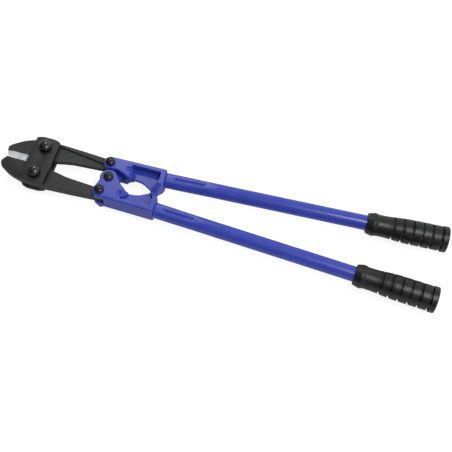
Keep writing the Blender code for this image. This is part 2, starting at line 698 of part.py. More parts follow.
def grip_profile():
    """Outline of a moulded grip as (radius, height), from its closed end to its mouth and bore."""
    bore = TUBE_RADIUS + GAP
    neck_end = GRIP_FIRST_GROOVE * 0.65
    last_groove = GRIP_FIRST_GROOVE + GRIP_GROOVE_PITCH * (GRIP_GROOVE_COUNT - 1)

    def body_radius(along):
        share = min(1.0, max(0.0, (along - neck_end) / (last_groove * 0.62 - neck_end)))
        return GRIP_NECK_RADIUS + (GRIP_BODY_RADIUS - GRIP_NECK_RADIUS) * share

    outer = [(bore, 0.0), (GRIP_FLARE_RADIUS - 1.5 * MM, 0.0), (GRIP_FLARE_RADIUS, 2.0 * MM),
             (GRIP_FLARE_RADIUS, 9.0 * MM), (GRIP_NECK_RADIUS, 17.0 * MM),
             (GRIP_NECK_RADIUS, neck_end)]
    for i in range(GRIP_GROOVE_COUNT):
        middle = GRIP_FIRST_GROOVE + GRIP_GROOVE_PITCH * i
        near = middle - GRIP_GROOVE_WIDTH / 2
        far = middle + GRIP_GROOVE_WIDTH / 2
        top = body_radius(middle)
        outer += [(top, near), (top - GRIP_GROOVE_DEPTH, near + 0.3 * MM),
                  (top - GRIP_GROOVE_DEPTH, far - 0.3 * MM), (top, far)]
    outer += [(GRIP_BODY_RADIUS, GRIP_LENGTH - 1.5 * MM),
              (GRIP_BODY_RADIUS - 1.5 * MM, GRIP_LENGTH), (0.0, GRIP_LENGTH)]
    depth = GRIP_LENGTH - GRIP_END_WALL
    return list(reversed(outer)) + [(bore, depth), (0.0, depth)]


def make_grip(name, parent, upper):
    """Moulded rubber grip: flared mouth, ring grooves and a closed end."""
    piece = turned_piece(name, grip_profile(), parent)
    start = COLLAR_CENTRE + HANDLE_AXIS * GRIP_START - TAIL_PIVOT
    lay_down = Matrix.Rotation(HANDLE_SLOPE, 4, 'Z') @ Matrix.Rotation(math.pi / 2, 4, 'Y')
    side = 1 if upper else -1
    place = Matrix.Translation((start.x, start.y * side, 0))
    flip = Matrix.Identity(4) if upper else Matrix.Rotation(math.pi, 4, 'X')
    piece.matrix_local = place @ flip @ lay_down
    finish(piece, "grip_rubber")


# ---------------------------------------------------------------- assembly
def make_side(tool, side, upper):
    """One jaw and one handle with the bolts that ride on it."""
    sign = 1 if upper else -1
    jaw_pivot = make_empty(f"jaw_{side}_pivot", (JAW_PIVOT.x, sign * JAW_PIVOT.y, 0), tool)
    make_jaw(f"jaw_{side}", jaw_pivot, upper)
    handle_pivot = make_empty(f"handle_{side}_pivot", (TAIL_PIVOT.x, sign * TAIL_PIVOT.y, 0), tool)
    make_head(f"handle_head_{side}", handle_pivot, upper)
    make_tube(f"handle_tube_{side}", handle_pivot, upper)
    make_grip(f"grip_{side}", handle_pivot, upper)
    make_joint_hardware(f"tail_{side}", handle_pivot, (0, 0), HEAD_HALF, big=False)
    if not upper:
        to_pivot = (HANDLE_PIVOT.x - TAIL_PIVOT.x, HANDLE_PIVOT.y + TAIL_PIVOT.y)
        make_joint_hardware("handle_pivot", handle_pivot, to_pivot, HEAD_HALF, big=False)


def make_strap_frame(tool):
    """The two straps and the jaw bolts that clamp them."""
    frame = make_empty("strap_frame", (JAW_PIVOT.x, 0, 0), tool)
    make_strap("strap_front", frame, STRAP_INNER, STRAP_OUTER)
    make_strap("strap_rear", frame, -STRAP_OUTER, -STRAP_INNER)
    for side, sign in (("upper", 1), ("lower", -1)):
        make_joint_hardware(f"jaw_{side}", frame, (0, sign * JAW_PIVOT.y), STRAP_OUTER, big=True)


def stand_on_origin(tool):
    """Shift the whole tool so that the origin is under the middle of its box."""
    bpy.context.view_layer.update()
    graph = bpy.context.evaluated_depsgraph_get()
    low = Vector((math.inf,) * 3)
    high = Vector((-math.inf,) * 3)
    for item in PARTS.objects:
        if item.type != 'MESH':
            continue
        shape = item.evaluated_get(graph)
        for vertex in shape.data.vertices:
            place = shape.matrix_world @ vertex.co
            low = Vector(map(min, low, place))
            high = Vector(map(max, high, place))
    tool.location = (-(low.x + high.x) / 2, -(low.y + high.y) / 2, -low.z)


def main():
    """Build the whole tool."""
    tool = make_empty("tool_frame", (0, 0, 0))
    make_strap_frame(tool)
    make_side(tool, "upper", upper=True)
    make_side(tool, "lower", upper=False)
    stand_on_origin(tool)


main()
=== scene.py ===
"""Long-handled bolt cutters on a pale studio floor.

Lengths are in metres.  Every piece is modelled about the handle pivot with its own side of the
tool outwards (+Y) and the bolt heads up (+Z).  A lower piece is the same shape turned half a
turn about X.  The finished piece is then moved onto the frame's handle pivot, so that its
object stands at the origin and its place is in its mesh.
"""
import json
import logging
import math
from contextlib import contextmanager
from dataclasses import dataclass
from enum import Enum
from typing import Iterator, Sequence

import bmesh
import bpy
from mathutils import Matrix, Vector

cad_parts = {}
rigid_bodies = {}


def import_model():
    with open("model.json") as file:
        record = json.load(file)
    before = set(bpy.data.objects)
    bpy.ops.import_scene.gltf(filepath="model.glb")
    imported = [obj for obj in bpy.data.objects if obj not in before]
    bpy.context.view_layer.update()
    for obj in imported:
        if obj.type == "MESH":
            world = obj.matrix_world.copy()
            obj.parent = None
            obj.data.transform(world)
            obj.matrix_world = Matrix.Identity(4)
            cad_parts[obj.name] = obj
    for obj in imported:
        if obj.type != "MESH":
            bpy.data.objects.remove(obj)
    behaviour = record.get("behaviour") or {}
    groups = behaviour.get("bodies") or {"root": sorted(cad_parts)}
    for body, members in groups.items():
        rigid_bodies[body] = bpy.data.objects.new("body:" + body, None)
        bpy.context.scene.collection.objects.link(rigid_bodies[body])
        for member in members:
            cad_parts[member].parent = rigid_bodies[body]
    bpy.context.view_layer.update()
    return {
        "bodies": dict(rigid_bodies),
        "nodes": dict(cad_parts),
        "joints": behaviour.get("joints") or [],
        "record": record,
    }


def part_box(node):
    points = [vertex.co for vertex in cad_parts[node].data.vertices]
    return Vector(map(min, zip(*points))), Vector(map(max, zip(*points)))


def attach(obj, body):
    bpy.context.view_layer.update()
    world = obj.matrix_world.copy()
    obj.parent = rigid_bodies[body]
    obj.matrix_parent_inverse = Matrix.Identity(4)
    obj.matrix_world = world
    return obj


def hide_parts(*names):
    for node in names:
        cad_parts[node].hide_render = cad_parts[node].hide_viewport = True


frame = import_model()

LOG = logging.getLogger("bolt_cutters")

MM = 0.001
MERGE = 0.002 * MM          # vertices closer than this are one
LEVEL = 0.01 * MM           # a vertex this close to a height lies at it
OVERCUT = 30 * MM           # how far a cutter stands past the stock

Corner = tuple[float, float, float]
Colour = tuple[float, float, float]
Point = tuple[float, float]


class Side(Enum):
    """The half of the tool that a piece belongs to."""

    UPPER = "upper"
    LOWER = "lower"

    @property
    def sign(self) -> int:
        """+1 on the upper side and -1 on the lower."""
        return 1 if self is Side.UPPER else -1


class Face(Enum):
    """The face of a flat forging: the front carries the bolt heads."""

    FRONT = 1
    BACK = -1

    def span(self, near: float, far: float) -> tuple[float, float]:
        """The lower and upper height of what lies between two depths on this face."""
        low, high = sorted((self.value * near, self.value * far))
        return low, high


# ------------------------------------------------------------------------------ bench tools
def put_down() -> None:
    """Leave edit mode and deselect everything."""
    if bpy.context.object and bpy.context.object.mode != 'OBJECT':
        bpy.ops.object.mode_set(mode='OBJECT')
    bpy.ops.object.select_all(action='DESELECT')


def pick_up(piece: bpy.types.Object) -> None:
    """Make one piece the only selected and the active one.

    Args:
        piece: the piece.
    """
    put_down()
    piece.select_set(True)
    bpy.context.view_layer.objects.active = piece


@contextmanager
def editing(piece: bpy.types.Object, select: bool = True) -> Iterator[bmesh.types.BMesh]:
    """Work on a piece in edit mode.

    Args:
        piece: the piece.
        select: whether all of it starts selected.

    Returns:
        The edit mesh, for choosing faces and edges by their place.
    """
    pick_up(piece)
    bpy.ops.object.mode_set(mode='EDIT')
    bpy.ops.mesh.select_mode(type='VERT')
    bpy.ops.mesh.select_all(action='SELECT' if select else 'DESELECT')
    yield bmesh.from_edit_mesh(piece.data)
    bmesh.update_edit_mesh(piece.data)
    bpy.ops.object.mode_set(mode='OBJECT')
    put_down()


def settle(piece: bpy.types.Object) -> bpy.types.Object:
    """Write a piece's place, turn and scale into its mesh.

    Args:
        piece: the piece.

    Returns:
        The piece, at the origin, unturned and unscaled.
    """
    pick_up(piece)
    bpy.ops.object.transform_apply(location=True, rotation=True, scale=True)
    put_down()
    return piece


def modify(piece: bpy.types.Object, kind: str, **settings: object) -> bpy.types.Object:
    """Add a modifier with its settings and apply it.

    Args:
        piece: the piece.
        kind: the modifier's type, such as BEVEL.
        settings: its properties.

    Returns:
        The piece.
    """
    step = piece.modifiers.new(kind.title(), kind)
    for name, value in settings.items():
        setattr(step, name, value)
    pick_up(piece)
    bpy.ops.object.modifier_apply(modifier=step.name)
    put_down()
    return piece


def combine(piece: bpy.types.Object, tool: bpy.types.Object,
            operation: str = 'DIFFERENCE') -> bpy.types.Object:
    """Cut a piece by a tool, or join the two, and throw the tool away.

    A cut face takes the tool's finish, if the tool has one.

    Args:
        piece: the piece.
        tool: the other shape.
        operation: DIFFERENCE, UNION or INTERSECT.

    Returns:
        The piece.
    """
    modify(piece, 'BOOLEAN', operation=operation, object=tool, solver='EXACT',
           material_mode='TRANSFER')
    bpy.data.objects.remove(tool, do_unlink=True)
    return piece


def close_up(piece: bpy.types.Object) -> bpy.types.Object:
    """Merge doubled vertices and turn every face outwards.

    Args:
        piece: the piece.

    Returns:
        The piece.
    """
    with editing(piece):
        bpy.ops.mesh.remove_doubles(threshold=MERGE)
        bpy.ops.mesh.normals_make_consistent(inside=False)
    return piece


def facing(cutter: bpy.types.Object, face: Face) -> bpy.types.Object:
    """Mirror a cutter, made for the front, onto the face that it is to cut."""
    cutter.matrix_world = Matrix.Diagonal((1, 1, face.value, 1))
    return close_up(settle(cutter))


def shade(piece: bpy.types.Object, angle: float = 35) -> bpy.types.Object:
    """Shade a piece smooth.

    Args:
        piece: the piece.
        angle: edges sharper than this, in degrees, stay sharp.

    Returns:
        The piece.
    """
    pick_up(piece)
    bpy.ops.object.shade_smooth_by_angle(angle=math.radians(angle))
    put_down()
    return piece


def smoothstep(value: float) -> float:
    """Ease a value from 0 to 1."""
    value = min(1.0, max(0.0, value))
    return value * value * (3 - 2 * value)


# ------------------------------------------------------------------------------ outlines
def arc(centre: Sequence[float], radius: float, start: float, end: float,
        step: float = 6) -> list[Point]:
    """Points along an arc.

    Args:
        centre: its centre.
        radius: its radius.
        start: first angle in degrees.
        end: last angle in degrees.
        step: widest turn of one chord, in degrees.

    Returns:
        The points, first to last.
    """
    count = max(2, math.ceil(abs(end - start) / step))
    angles = [math.radians(start + (end - start) * i / count) for i in range(count + 1)]
    return [(centre[0] + radius * math.cos(a), centre[1] + radius * math.sin(a)) for a in angles]


def plain(points: Sequence[Point]) -> list[Corner]:
    """Corners with no fillet."""
    return [(x, y, 0.0) for x, y in points]


def filleted(corners: Sequence[Corner]) -> list[Point]:
    """Replace each corner of an outline by an arc of its own radius.

    Args:
        corners: x, y and fillet radius of each corner, in order.

    Returns:
        The outline's points.
    """
    points: list[Point] = []
    total = len(corners)
    for i, (x, y, radius) in enumerate(corners):
        if radius == 0:
            points.append((x, y))
            continue
        here = Vector((x, y))
        back = (Vector(corners[i - 1][:2]) - here).normalized()
        ahead = (Vector(corners[(i + 1) % total][:2]) - here).normalized()
        half = back.angle(ahead) / 2
        centre = here + (back + ahead).normalized() * radius / math.sin(half)
        first = here + back * radius / math.tan(half) - centre
        last = here + ahead * radius / math.tan(half) - centre
        sweep = -first.angle_signed(last)
        count = max(1, math.ceil(abs(sweep) / math.radians(15 if radius < 3 * MM else 6)))
        for step in range(count + 1):
            spoke = first.copy()
            spoke.rotate(Matrix.Rotation(sweep * step / count, 2))
            points.append(tuple(centre + spoke))
    return points


def draw(name: str, loops: Sequence[Sequence[Sequence[float]]], closed: bool,
         extrude: float = 0.0) -> bpy.types.Object:
    """Draw outlines with the curve tool and turn them into a mesh.

    Args:
        name: the new piece's name.
        loops: each outline's points, in X and Y, or X, Y and Z.
        closed: whether the outlines close and are filled.
        extrude: half the thickness of a filled outline.

    Returns:
        The new mesh object.
    """
    put_down()
    bpy.ops.curve.primitive_bezier_circle_add(radius=1.0)
    drawn = bpy.context.object
    drawn.name = name
    curve = drawn.data
    curve.splines.clear()
    curve.dimensions = '2D' if closed else '3D'
    curve.fill_mode = 'BOTH' if closed else 'FULL'
    curve.extrude = extrude
    for loop in loops:
        spline = curve.splines.new('POLY')
        spline.points.add(len(loop) - 1)
        for knot, place in zip(spline.points, loop):
            x, y, z = (*place, 0.0)[:3]
            knot.co = (x, y, z, 1)
        spline.use_cyclic_u = closed
    bpy.ops.object.convert(target='MESH')
    piece = bpy.context.object
    piece.name = name
    piece.data.name = name
    return piece


def slab(name: str, loops: Sequence[Sequence[Point]], low: float,
         high: float) -> bpy.types.Object:
    """Saw a flat plate.

    Args:
        name: the piece's name.
        loops: its outline, and then an outline for each hole.
        low: the height of its lower face.
        high: the height of its upper face.

    Returns:
        The plate.
    """
    piece = draw(name, loops, closed=True, extrude=(high - low) / 2)
    piece.location.z = (low + high) / 2
    close_up(settle(piece))
    with editing(piece):
        bpy.ops.mesh.dissolve_limited(angle_limit=math.radians(0.3))
    return piece


def round_rim(piece: bpy.types.Object, height: float, width: float, segments: int = 3) -> None:
    """Round the edges around a level face.

    Args:
        piece: the piece.
        height: the height of the face.
        width: how far the rounding reaches in from each edge.
        segments: the facets across it.
    """
    with editing(piece, select=False) as mesh:
        bpy.ops.mesh.select_mode(type='EDGE')
        for edge in mesh.edges:
            level = all(abs(v.co.z - height) < LEVEL for v in edge.verts)
            if level and len(edge.link_faces) == 2 and edge.calc_face_angle() > 0.7:
                edge.select = True
        bpy.ops.mesh.bevel(offset=width, segments=segments, affect='EDGES', loop_slide=False)


def flare_rim(piece: bpy.types.Object, height: float, growth: float) -> None:
    """Give a cutter draft.

    Args:
        piece: the cutter.
        height: the height of the face that grows.
        growth: how much further out each side of that face comes.
    """
    with editing(piece, select=False) as mesh:
        rim = [v for v in mesh.verts if abs(v.co.z - height) < LEVEL]
        for vertex in rim:
            vertex.select = True
        middle = sum((v.co for v in rim), Vector()) / len(rim)
        wide = max(abs(v.co.x - middle.x) for v in rim)
        deep = max(abs(v.co.y - middle.y) for v in rim)
        bpy.ops.transform.resize(value=(1 + growth / wide, 1 + growth / deep, 1),
                                 center_override=middle)


def rod(name: str, centre: Sequence[float], radius: float, low: float, high: float,
        sides: int = 48) -> bpy.types.Object:
    """An upright cylinder, used as bar stock or as a drill.

    Args:
        name: its name.
        centre: the place of its axis.
        radius: its radius.
        low: the height of its lower end.
        high: the height of its upper end.
        sides: facets around.

    Returns:
        The cylinder.
    """
    put_down()
    bpy.ops.mesh.primitive_cylinder_add(vertices=sides, radius=radius, depth=high - low,
                                        location=(centre[0], centre[1], (low + high) / 2))
    piece = bpy.context.object
    piece.name = name
    return settle(piece)


def block(name: str, size: Sequence[float], turn: Matrix,
          place: Sequence[float]) -> bpy.types.Object:
    """A block that stands on a turned plane, used as a milling cutter.

    Args:
        name: its name.
        size: its length, width and height.
        turn: the turn of the plane.
        place: the centre of its base.

    Returns:
        The block.
    """
    put_down()
    bpy.ops.mesh.primitive_cube_add(size=1, location=(0, 0, 0.5))
    piece = settle(bpy.context.object)
    piece.name = name
    piece.scale = size
    settle(piece)
    piece.matrix_world = Matrix.Translation(place) @ turn
    return settle(piece)


def lathe(name: str, profile: Sequence[Point], steps: int) -> bpy.types.Object:
    """Turn a profile of (radius, height) points about Z.

    Args:
        name: the piece's name.
        profile: the points, from the axis down the outer side and back to the axis.
        steps: facets around.

    Returns:
        The closed turned piece.
    """
    piece = draw(name, [[(r, 0.0, z) for r, z in profile]], closed=False)
    modify(piece, 'SCREW', steps=steps, render_steps=steps, use_merge_vertices=True,
           merge_threshold=MERGE, use_smooth_shade=True)
    return close_up(piece)


def forge(piece: bpy.types.Object, grain: float, rounds: int) -> bpy.types.Object:
    """Melt a cut shape into one skin with the soft edges and fillets of a forging.

    Args:
        piece: the piece, as cut.
        grain: the size of the new skin's facets.
        rounds: passes of smoothing; more of them give rounder edges.

    Returns:
        The piece.
    """
    modify(piece, 'REMESH', mode='VOXEL', voxel_size=grain, use_smooth_shade=True)
    modify(piece, 'SMOOTH', factor=0.5, iterations=rounds)
    return piece


# ------------------------------------------------------------------------------ the frame
@dataclass(frozen=True)
class Layout:
    """Where the frame's pivots are, and how a piece gets there."""

    origin: Vector
    jaw: Vector
    tail: Vector

    @classmethod
    def from_frame(cls, loaded: dict) -> "Layout":
        """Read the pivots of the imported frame.


        Returns:
            The layout, with the jaw and tail pivots about the handle pivot.
        """
        joints = {joint["name"]: Vector(joint["pos_m"]) for joint in loaded["joints"]}
        low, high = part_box("handle_pivot_bolt")
        middle = (low + high) / 2
        origin = Vector((middle.x, middle.y, joints["jaw_upper_hinge"].z))
        jaw = joints["jaw_upper_hinge"] - origin
        tail = joints["handle_upper_hinge"] - origin
        return cls(origin, jaw.to_2d(), tail.to_2d())

    def place(self, piece: bpy.types.Object, side: Side = Side.UPPER) -> bpy.types.Object:
        """Turn a lower piece over, and move the piece onto the frame.

        Args:
            piece: the piece, modelled about the handle pivot.
            side: the side of the tool that it belongs to.

        Returns:
            The piece, in its place.
        """
        if side is Side.LOWER:
            piece.rotation_euler = (math.pi, 0, 0)
            settle(piece)
        piece.location = self.origin
        return settle(piece)


@dataclass(frozen=True)
class TubeAxis:
    """The line of a handle's tube and grip, from its start in the head's collar."""

    x: float = 75.3 * MM
    y: float = 25.0 * MM
    slope: float = math.radians(3.12)

    def lay(self, piece: bpy.types.Object, start: float = 0.0) -> bpy.types.Object:
        """Lay a piece, made upright, along the axis.

        Args:
            piece: the piece.
            start: how far along the axis its foot goes.

        Returns:
            The piece.
        """
        ahead = Vector((math.cos(self.slope), math.sin(self.slope)))
        foot = Vector((self.x, self.y)) + ahead * start
        piece.matrix_world = (Matrix.Translation((*foot, 0))
                              @ Matrix.Rotation(self.slope, 4, 'Z')
                              @ Matrix.Rotation(math.pi / 2, 4, 'Y'))
        return settle(piece)


def report(piece: bpy.types.Object, body: str, node: str) -> None:
    """Hand a finished piece over to the frame in place of a CAD node.

    Args:
        piece: the piece.
        body: the body that it rides on.
        node: the node that it replaces.
    """
    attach(piece, body)
    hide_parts(node)
    LOG.info("%s rides on %s: %d faces", piece.name, body, len(piece.data.polygons))


# ------------------------------------------------------------------------------ node groups
def new_group(name: str, inputs: dict[str, tuple[str, float]],
              outputs: Sequence[str]) -> bpy.types.NodeTree:
    """Start a shader node group.

    Args:
        name: the group's name.
        inputs: the socket type and default of each input.
        outputs: the names of its outputs, each one a number.

    Returns:
        The group, with its input and output nodes in place.
    """
    group = bpy.data.node_groups.new(name, 'ShaderNodeTree')
    for label, (kind, default) in inputs.items():
        socket = group.interface.new_socket(name=label, in_out='INPUT', socket_type=kind)
        if kind == 'NodeSocketFloat':
            socket.default_value = default
    for label in outputs:
        group.interface.new_socket(name=label, in_out='OUTPUT', socket_type='NodeSocketFloat')
    group.nodes.new('NodeGroupInput').location = (-600, 0)
    group.nodes.new('NodeGroupOutput').location = (700, 0)
    return group


class Wiring:
    """A node tree, with short ways to add and join its nodes."""

    def __init__(self, tree: bpy.types.NodeTree) -> None:
        """Work on a tree."""
        self.tree = tree

    def node(self, kind: str, **settings: object) -> bpy.types.Node:
        """Add a node.

        Args:
            kind: the node's type.
            settings: its properties.

        Returns:
            The node.
        """
        made = self.tree.nodes.new(kind)
        for name, value in settings.items():
            setattr(made, name, value)
        return made

    def join(self, source: bpy.types.NodeSocket, target: bpy.types.NodeSocket) -> None:
        """Link one socket to another."""
        self.tree.links.new(source, target)

    def math(self, operation: str, first: object, second: object = 0.0) -> bpy.types.NodeSocket:
        """Combine two values.

        Args:
            operation: the sum to do, such as MULTIPLY.
            first: a socket or a number.
            second: a socket or a number.

        Returns:
            The result's socket.
        """
        made = self.node('ShaderNodeMath', operation=operation)
        for slot, value in zip(made.inputs, (first, second)):
            if isinstance(value, bpy.types.NodeSocket):
                self.join(value, slot)
            else:
                slot.default_value = value
        return made.outputs[0]

    def remap(self, value: bpy.types.NodeSocket, low: float, high: float,
              to_low: float = 0.0, to_high: float = 1.0) -> bpy.types.NodeSocket:
        """Map a range onto another, clamped at its ends.

        Args:
            value: the value.
            low: where its range starts.
            high: where its range ends.
            to_low: what low becomes.
            to_high: what high becomes.

        Returns:
            The result's socket.
        """
        made = self.node('ShaderNodeMapRange')
        self.join(value, made.inputs['Value'])
        for label, number in (('From Min', low), ('From Max', high), ('To Min', to_low),
                              ('To Max', to_high)):
            made.inputs[label].default_value = number
        return made.outputs['Result']

    def noise(self, vector: bpy.types.NodeSocket, scale: object, detail: float = 3.0,
              roughness: float = 0.5) -> bpy.types.NodeSocket:
        """Add a noise.

        Args:
            vector: its coordinates.
            scale: its scale, a socket or a number.
            detail: its octaves.
            roughness: how strong the fine octaves are.

        Returns:
            The noise's socket.
        """
        made = self.node('ShaderNodeTexNoise')
        self.join(vector, made.inputs['Vector'])
        if isinstance(scale, bpy.types.NodeSocket):
            self.join(scale, made.inputs['Scale'])
        else:
            made.inputs['Scale'].default_value = scale
        made.inputs['Detail'].default_value = detail
        made.inputs['Roughness'].default_value = roughness
        return made.outputs['Fac']

    def stretch(self, vector: bpy.types.NodeSocket, scale: Sequence[float],
                turn: float = 0.0) -> bpy.types.NodeSocket:
        """Turn coordinates about Z, then scale each axis.

        Args:
            vector: the coordinates.
            scale: the scale along each axis.
            turn: the angle.

        Returns:
            The new coordinates' socket.
        """
        turned = self.node('ShaderNodeMapping')
        turned.inputs['Rotation'].default_value = (0, 0, turn)
        self.join(vector, turned.inputs['Vector'])
        scaled = self.node('ShaderNodeMapping')
        scaled.inputs['Scale'].default_value = scale
        self.join(turned.outputs[0], scaled.inputs['Vector'])
        return scaled.outputs[0]

    def tint(self, share: bpy.types.NodeSocket, first: Colour | bpy.types.NodeSocket,
             second: Colour) -> bpy.types.NodeSocket:
        """Mix two colours.

        Args:
            share: how much of the second one there is.
            first: a colour, or a socket that gives one.
            second: a colour.

        Returns:
            The mixed colour's socket.
        """
        made = self.node('ShaderNodeMix', data_type='RGBA')
        factor, start, end = made.inputs[0], made.inputs[6], made.inputs[7]
        self.join(share, factor)
        if isinstance(first, bpy.types.NodeSocket):
            self.join(first, start)
        else:
            start.default_value = (*first, 1)
        end.default_value = (*second, 1)
        return made.outputs[2]

    def surface(self, share: bpy.types.NodeSocket, first: bpy.types.Node,
                second: bpy.types.Node, output: str) -> None:
        """Mix two shaders and send them to the tree's output.

        Args:
            share: how much of the second one there is.
            first: a shader node.
            second: a shader node.
            output: the output node's name.
        """
        made = self.node('ShaderNodeMixShader')
        self.join(share, made.inputs[0])
        self.join(first.outputs[0], made.inputs[1])
        self.join(second.outputs[0], made.inputs[2])
        self.join(made.outputs[0], self.tree.nodes[output].inputs['Surface'])


def skin_group() -> bpy.types.NodeTree:
    """Fine skin: an orange peel or scale height, and a cloudy mask.

    Returns:
        The group.
    """
    group = new_group("fine_skin", {"Vector": ('NodeSocketVector', 0.0),
                                    "Fineness": ('NodeSocketFloat', 400.0),
                                    "Pits": ('NodeSocketFloat', 0.0)}, ("Height", "Clouds"))
    wire = Wiring(group)
    given = group.nodes['Group Input'].outputs
    result = group.nodes['Group Output'].inputs
    broader = wire.math('MULTIPLY', given['Fineness'], 0.23)
    fine = wire.noise(given['Vector'], given['Fineness'], detail=2.0)
    coarse = wire.noise(given['Vector'], broader, detail=3.0, roughness=0.6)
    cells = wire.node('ShaderNodeTexVoronoi')
    wire.join(given['Vector'], cells.inputs['Vector'])
    wire.join(wire.math('MULTIPLY', given['Fineness'], 0.7), cells.inputs['Scale'])
    pit_width = 0.22
    pits = wire.remap(cells.outputs['Distance'], 0.0, pit_width, to_low=1.0, to_high=0.0)
    blend = wire.math('ADD', wire.math('MULTIPLY', fine, 0.55),
                      wire.math('MULTIPLY', coarse, 0.45))
    height = wire.math('SUBTRACT', blend, wire.math('MULTIPLY', pits, given['Pits']))
    clouds = wire.noise(given['Vector'], 55.0, detail=4.0, roughness=0.6)
    wire.join(height, result['Height'])
    wire.join(clouds, result['Clouds'])
    return group


def marks_group() -> bpy.types.NodeTree:
    """Handling marks: faint smudges with a few hairline scratches.

    Returns:
        The group.
    """
    group = new_group("handling_marks", {"Vector": ('NodeSocketVector', 0.0),
                                         "Amount": ('NodeSocketFloat', 0.5)},
                      ("Smudges", "Scratches"))
    wire = Wiring(group)
    given = group.nodes['Group Input'].outputs
    result = group.nodes['Group Output'].inputs
    handled = wire.noise(given['Vector'], 26.0, detail=5.0, roughness=0.65)
    patches = wire.remap(handled, 0.42, 0.68)
    along = wire.stretch(given['Vector'], (30.0, 1400.0, 900.0), turn=0.5)
    across = wire.stretch(given['Vector'], (24.0, 1100.0, 800.0), turn=-1.1)
    hair = wire.math('MAXIMUM', wire.remap(wire.noise(along, 1.0, detail=2.0), 0.70, 0.76),
                     wire.remap(wire.noise(across, 1.0, detail=2.0), 0.71, 0.77))
    wire.join(wire.math('MULTIPLY', patches, given['Amount']), result['Smudges'])
    wire.join(wire.math('MULTIPLY', hair, given['Amount']), result['Scratches'])
    return group


def grinding_group() -> bpy.types.NodeTree:
    """Grinding lines that run across a ground face, at a slant to X.

    Returns:
        The group.
    """
    group = new_group("grinding_lines", {"Vector": ('NodeSocketVector', 0.0),
                                         "Fineness": ('NodeSocketFloat', 2600.0)},
                      ("Height", "Streaks"))
    wire = Wiring(group)
    given = group.nodes['Group Input'].outputs
    result = group.nodes['Group Output'].inputs
    slanted = wire.stretch(given['Vector'], (1.0, 0.06, 0.06), turn=0.32)
    fine = wire.noise(slanted, given['Fineness'], detail=3.0, roughness=0.7)
    broader = wire.math('MULTIPLY', given['Fineness'], 0.13)
    broad = wire.noise(slanted, broader, detail=2.0)
    streaks = wire.math('ADD', wire.math('MULTIPLY', fine, 0.4),
                        wire.math('MULTIPLY', broad, 0.6))
    wire.join(fine, result['Height'])
    wire.join(streaks, result['Streaks'])
    return group


@dataclass(frozen=True)
class Finish:
    """The look of one material of the tool, as a maker would order it."""

    name: str
    colour: Colour
    shade: Colour
    roughness: tuple[float, float]
    metallic: float
    fineness: float
    relief: float
    marks: float
    worn: Colour
    pits: float = 0.0
    specular: float = 0.5
    ground: bool = False
    smear: float = 0.12

    def material(self) -> bpy.types.Material:
        """Make the material, or give the one made before.

        Returns:
            The material.
        """
        known = bpy.data.materials.get(self.name)
        if known:
            return known
        made = bpy.data.materials.new(self.name)
        made.use_nodes = True
        wire = Wiring(made.node_tree)
        shader = made.node_tree.nodes['Principled BSDF']
        shader.inputs['Metallic'].default_value = self.metallic
        shader.inputs['Specular IOR Level'].default_value = self.specular
        place = wire.node('ShaderNodeTexCoord').outputs['Object']
        skin = self._group(wire, "grinding_lines" if self.ground else "fine_skin", place)
        skin.inputs['Fineness'].default_value = self.fineness
        marks = self._group(wire, "handling_marks", place)
        marks.inputs['Amount'].default_value = self.marks
        if not self.ground:
            skin.inputs['Pits'].default_value = self.pits
        cloud = skin.outputs['Streaks' if self.ground else 'Clouds']
        base = wire.tint(wire.remap(cloud, 0.32, 0.68), self.shade, self.colour)
        scratched = wire.tint(marks.outputs['Scratches'], base, self.worn)
        wire.join(scratched, shader.inputs['Base Color'])
        rough = wire.remap(cloud, 0.3, 0.7, *self.roughness)
        smudged = wire.math('MULTIPLY', marks.outputs['Smudges'], self.smear)
        wire.join(wire.math('ADD', rough, smudged), shader.inputs['Roughness'])
        bump = wire.node('ShaderNodeBump')
        bump.inputs['Strength'].default_value = 1.0
        bump.inputs['Distance'].default_value = self.relief
        wire.join(skin.outputs['Height'], bump.inputs['Height'])
        wire.join(bump.outputs['Normal'], shader.inputs['Normal'])
        return made

    @staticmethod
    def _group(wire: Wiring, name: str, place: bpy.types.NodeSocket) -> bpy.types.Node:
        """Place a shared node group.

        Args:
            wire: the material's tree.
            name: the group's name.
            place: the coordinates to feed it.

        Returns:
            The group's node.
        """
        makers = {"fine_skin": skin_group, "handling_marks": marks_group,
                  "grinding_lines": grinding_group}
        tree = bpy.data.node_groups.get(name) or makers[name]()
        node = wire.node('ShaderNodeGroup', node_tree=tree)
        wire.join(place, node.inputs['Vector'])
        return node


ENAMEL = Finish("blue_enamel", colour=(0.034, 0.053, 0.385), shade=(0.028, 0.045, 0.345),
                roughness=(0.22, 0.28), metallic=0.0, fineness=700.0, relief=0.00002,
                marks=0.15, worn=(0.08, 0.10, 0.47), specular=0.42)
FORGING_BLACK = Finish("blackened_forging", colour=(0.0185, 0.0185, 0.0187),
                       shade=(0.0105, 0.0105, 0.0107), roughness=(0.42, 0.56), metallic=0.0,
                       fineness=900.0, relief=0.00009, pits=0.35, marks=0.5,
                       worn=(0.04, 0.04, 0.041))
PLATE_BLACK = Finish("blackened_plate", colour=(0.010, 0.010, 0.0102),
                     shade=(0.006, 0.006, 0.0062), roughness=(0.44, 0.56), metallic=0.0,
                     fineness=1300.0, relief=0.00004, pits=0.15, marks=0.5,
                     worn=(0.035, 0.035, 0.036))
BOLT_BLACK = Finish("black_oxide_bolt", colour=(0.0025, 0.0025, 0.0026),
                    shade=(0.002, 0.002, 0.0021), roughness=(0.06, 0.10), metallic=0.0,
                    fineness=1100.0, relief=0.000005, marks=0.3, worn=(0.02, 0.02, 0.022),
                    specular=0.7)
PIN_BLACK = Finish("black_oxide_pin", colour=(0.012, 0.010, 0.0095),
                   shade=(0.006, 0.0055, 0.0052), roughness=(0.14, 0.24), metallic=0.2,
                   fineness=1100.0, relief=0.00002, marks=0.5, worn=(0.07, 0.065, 0.062))
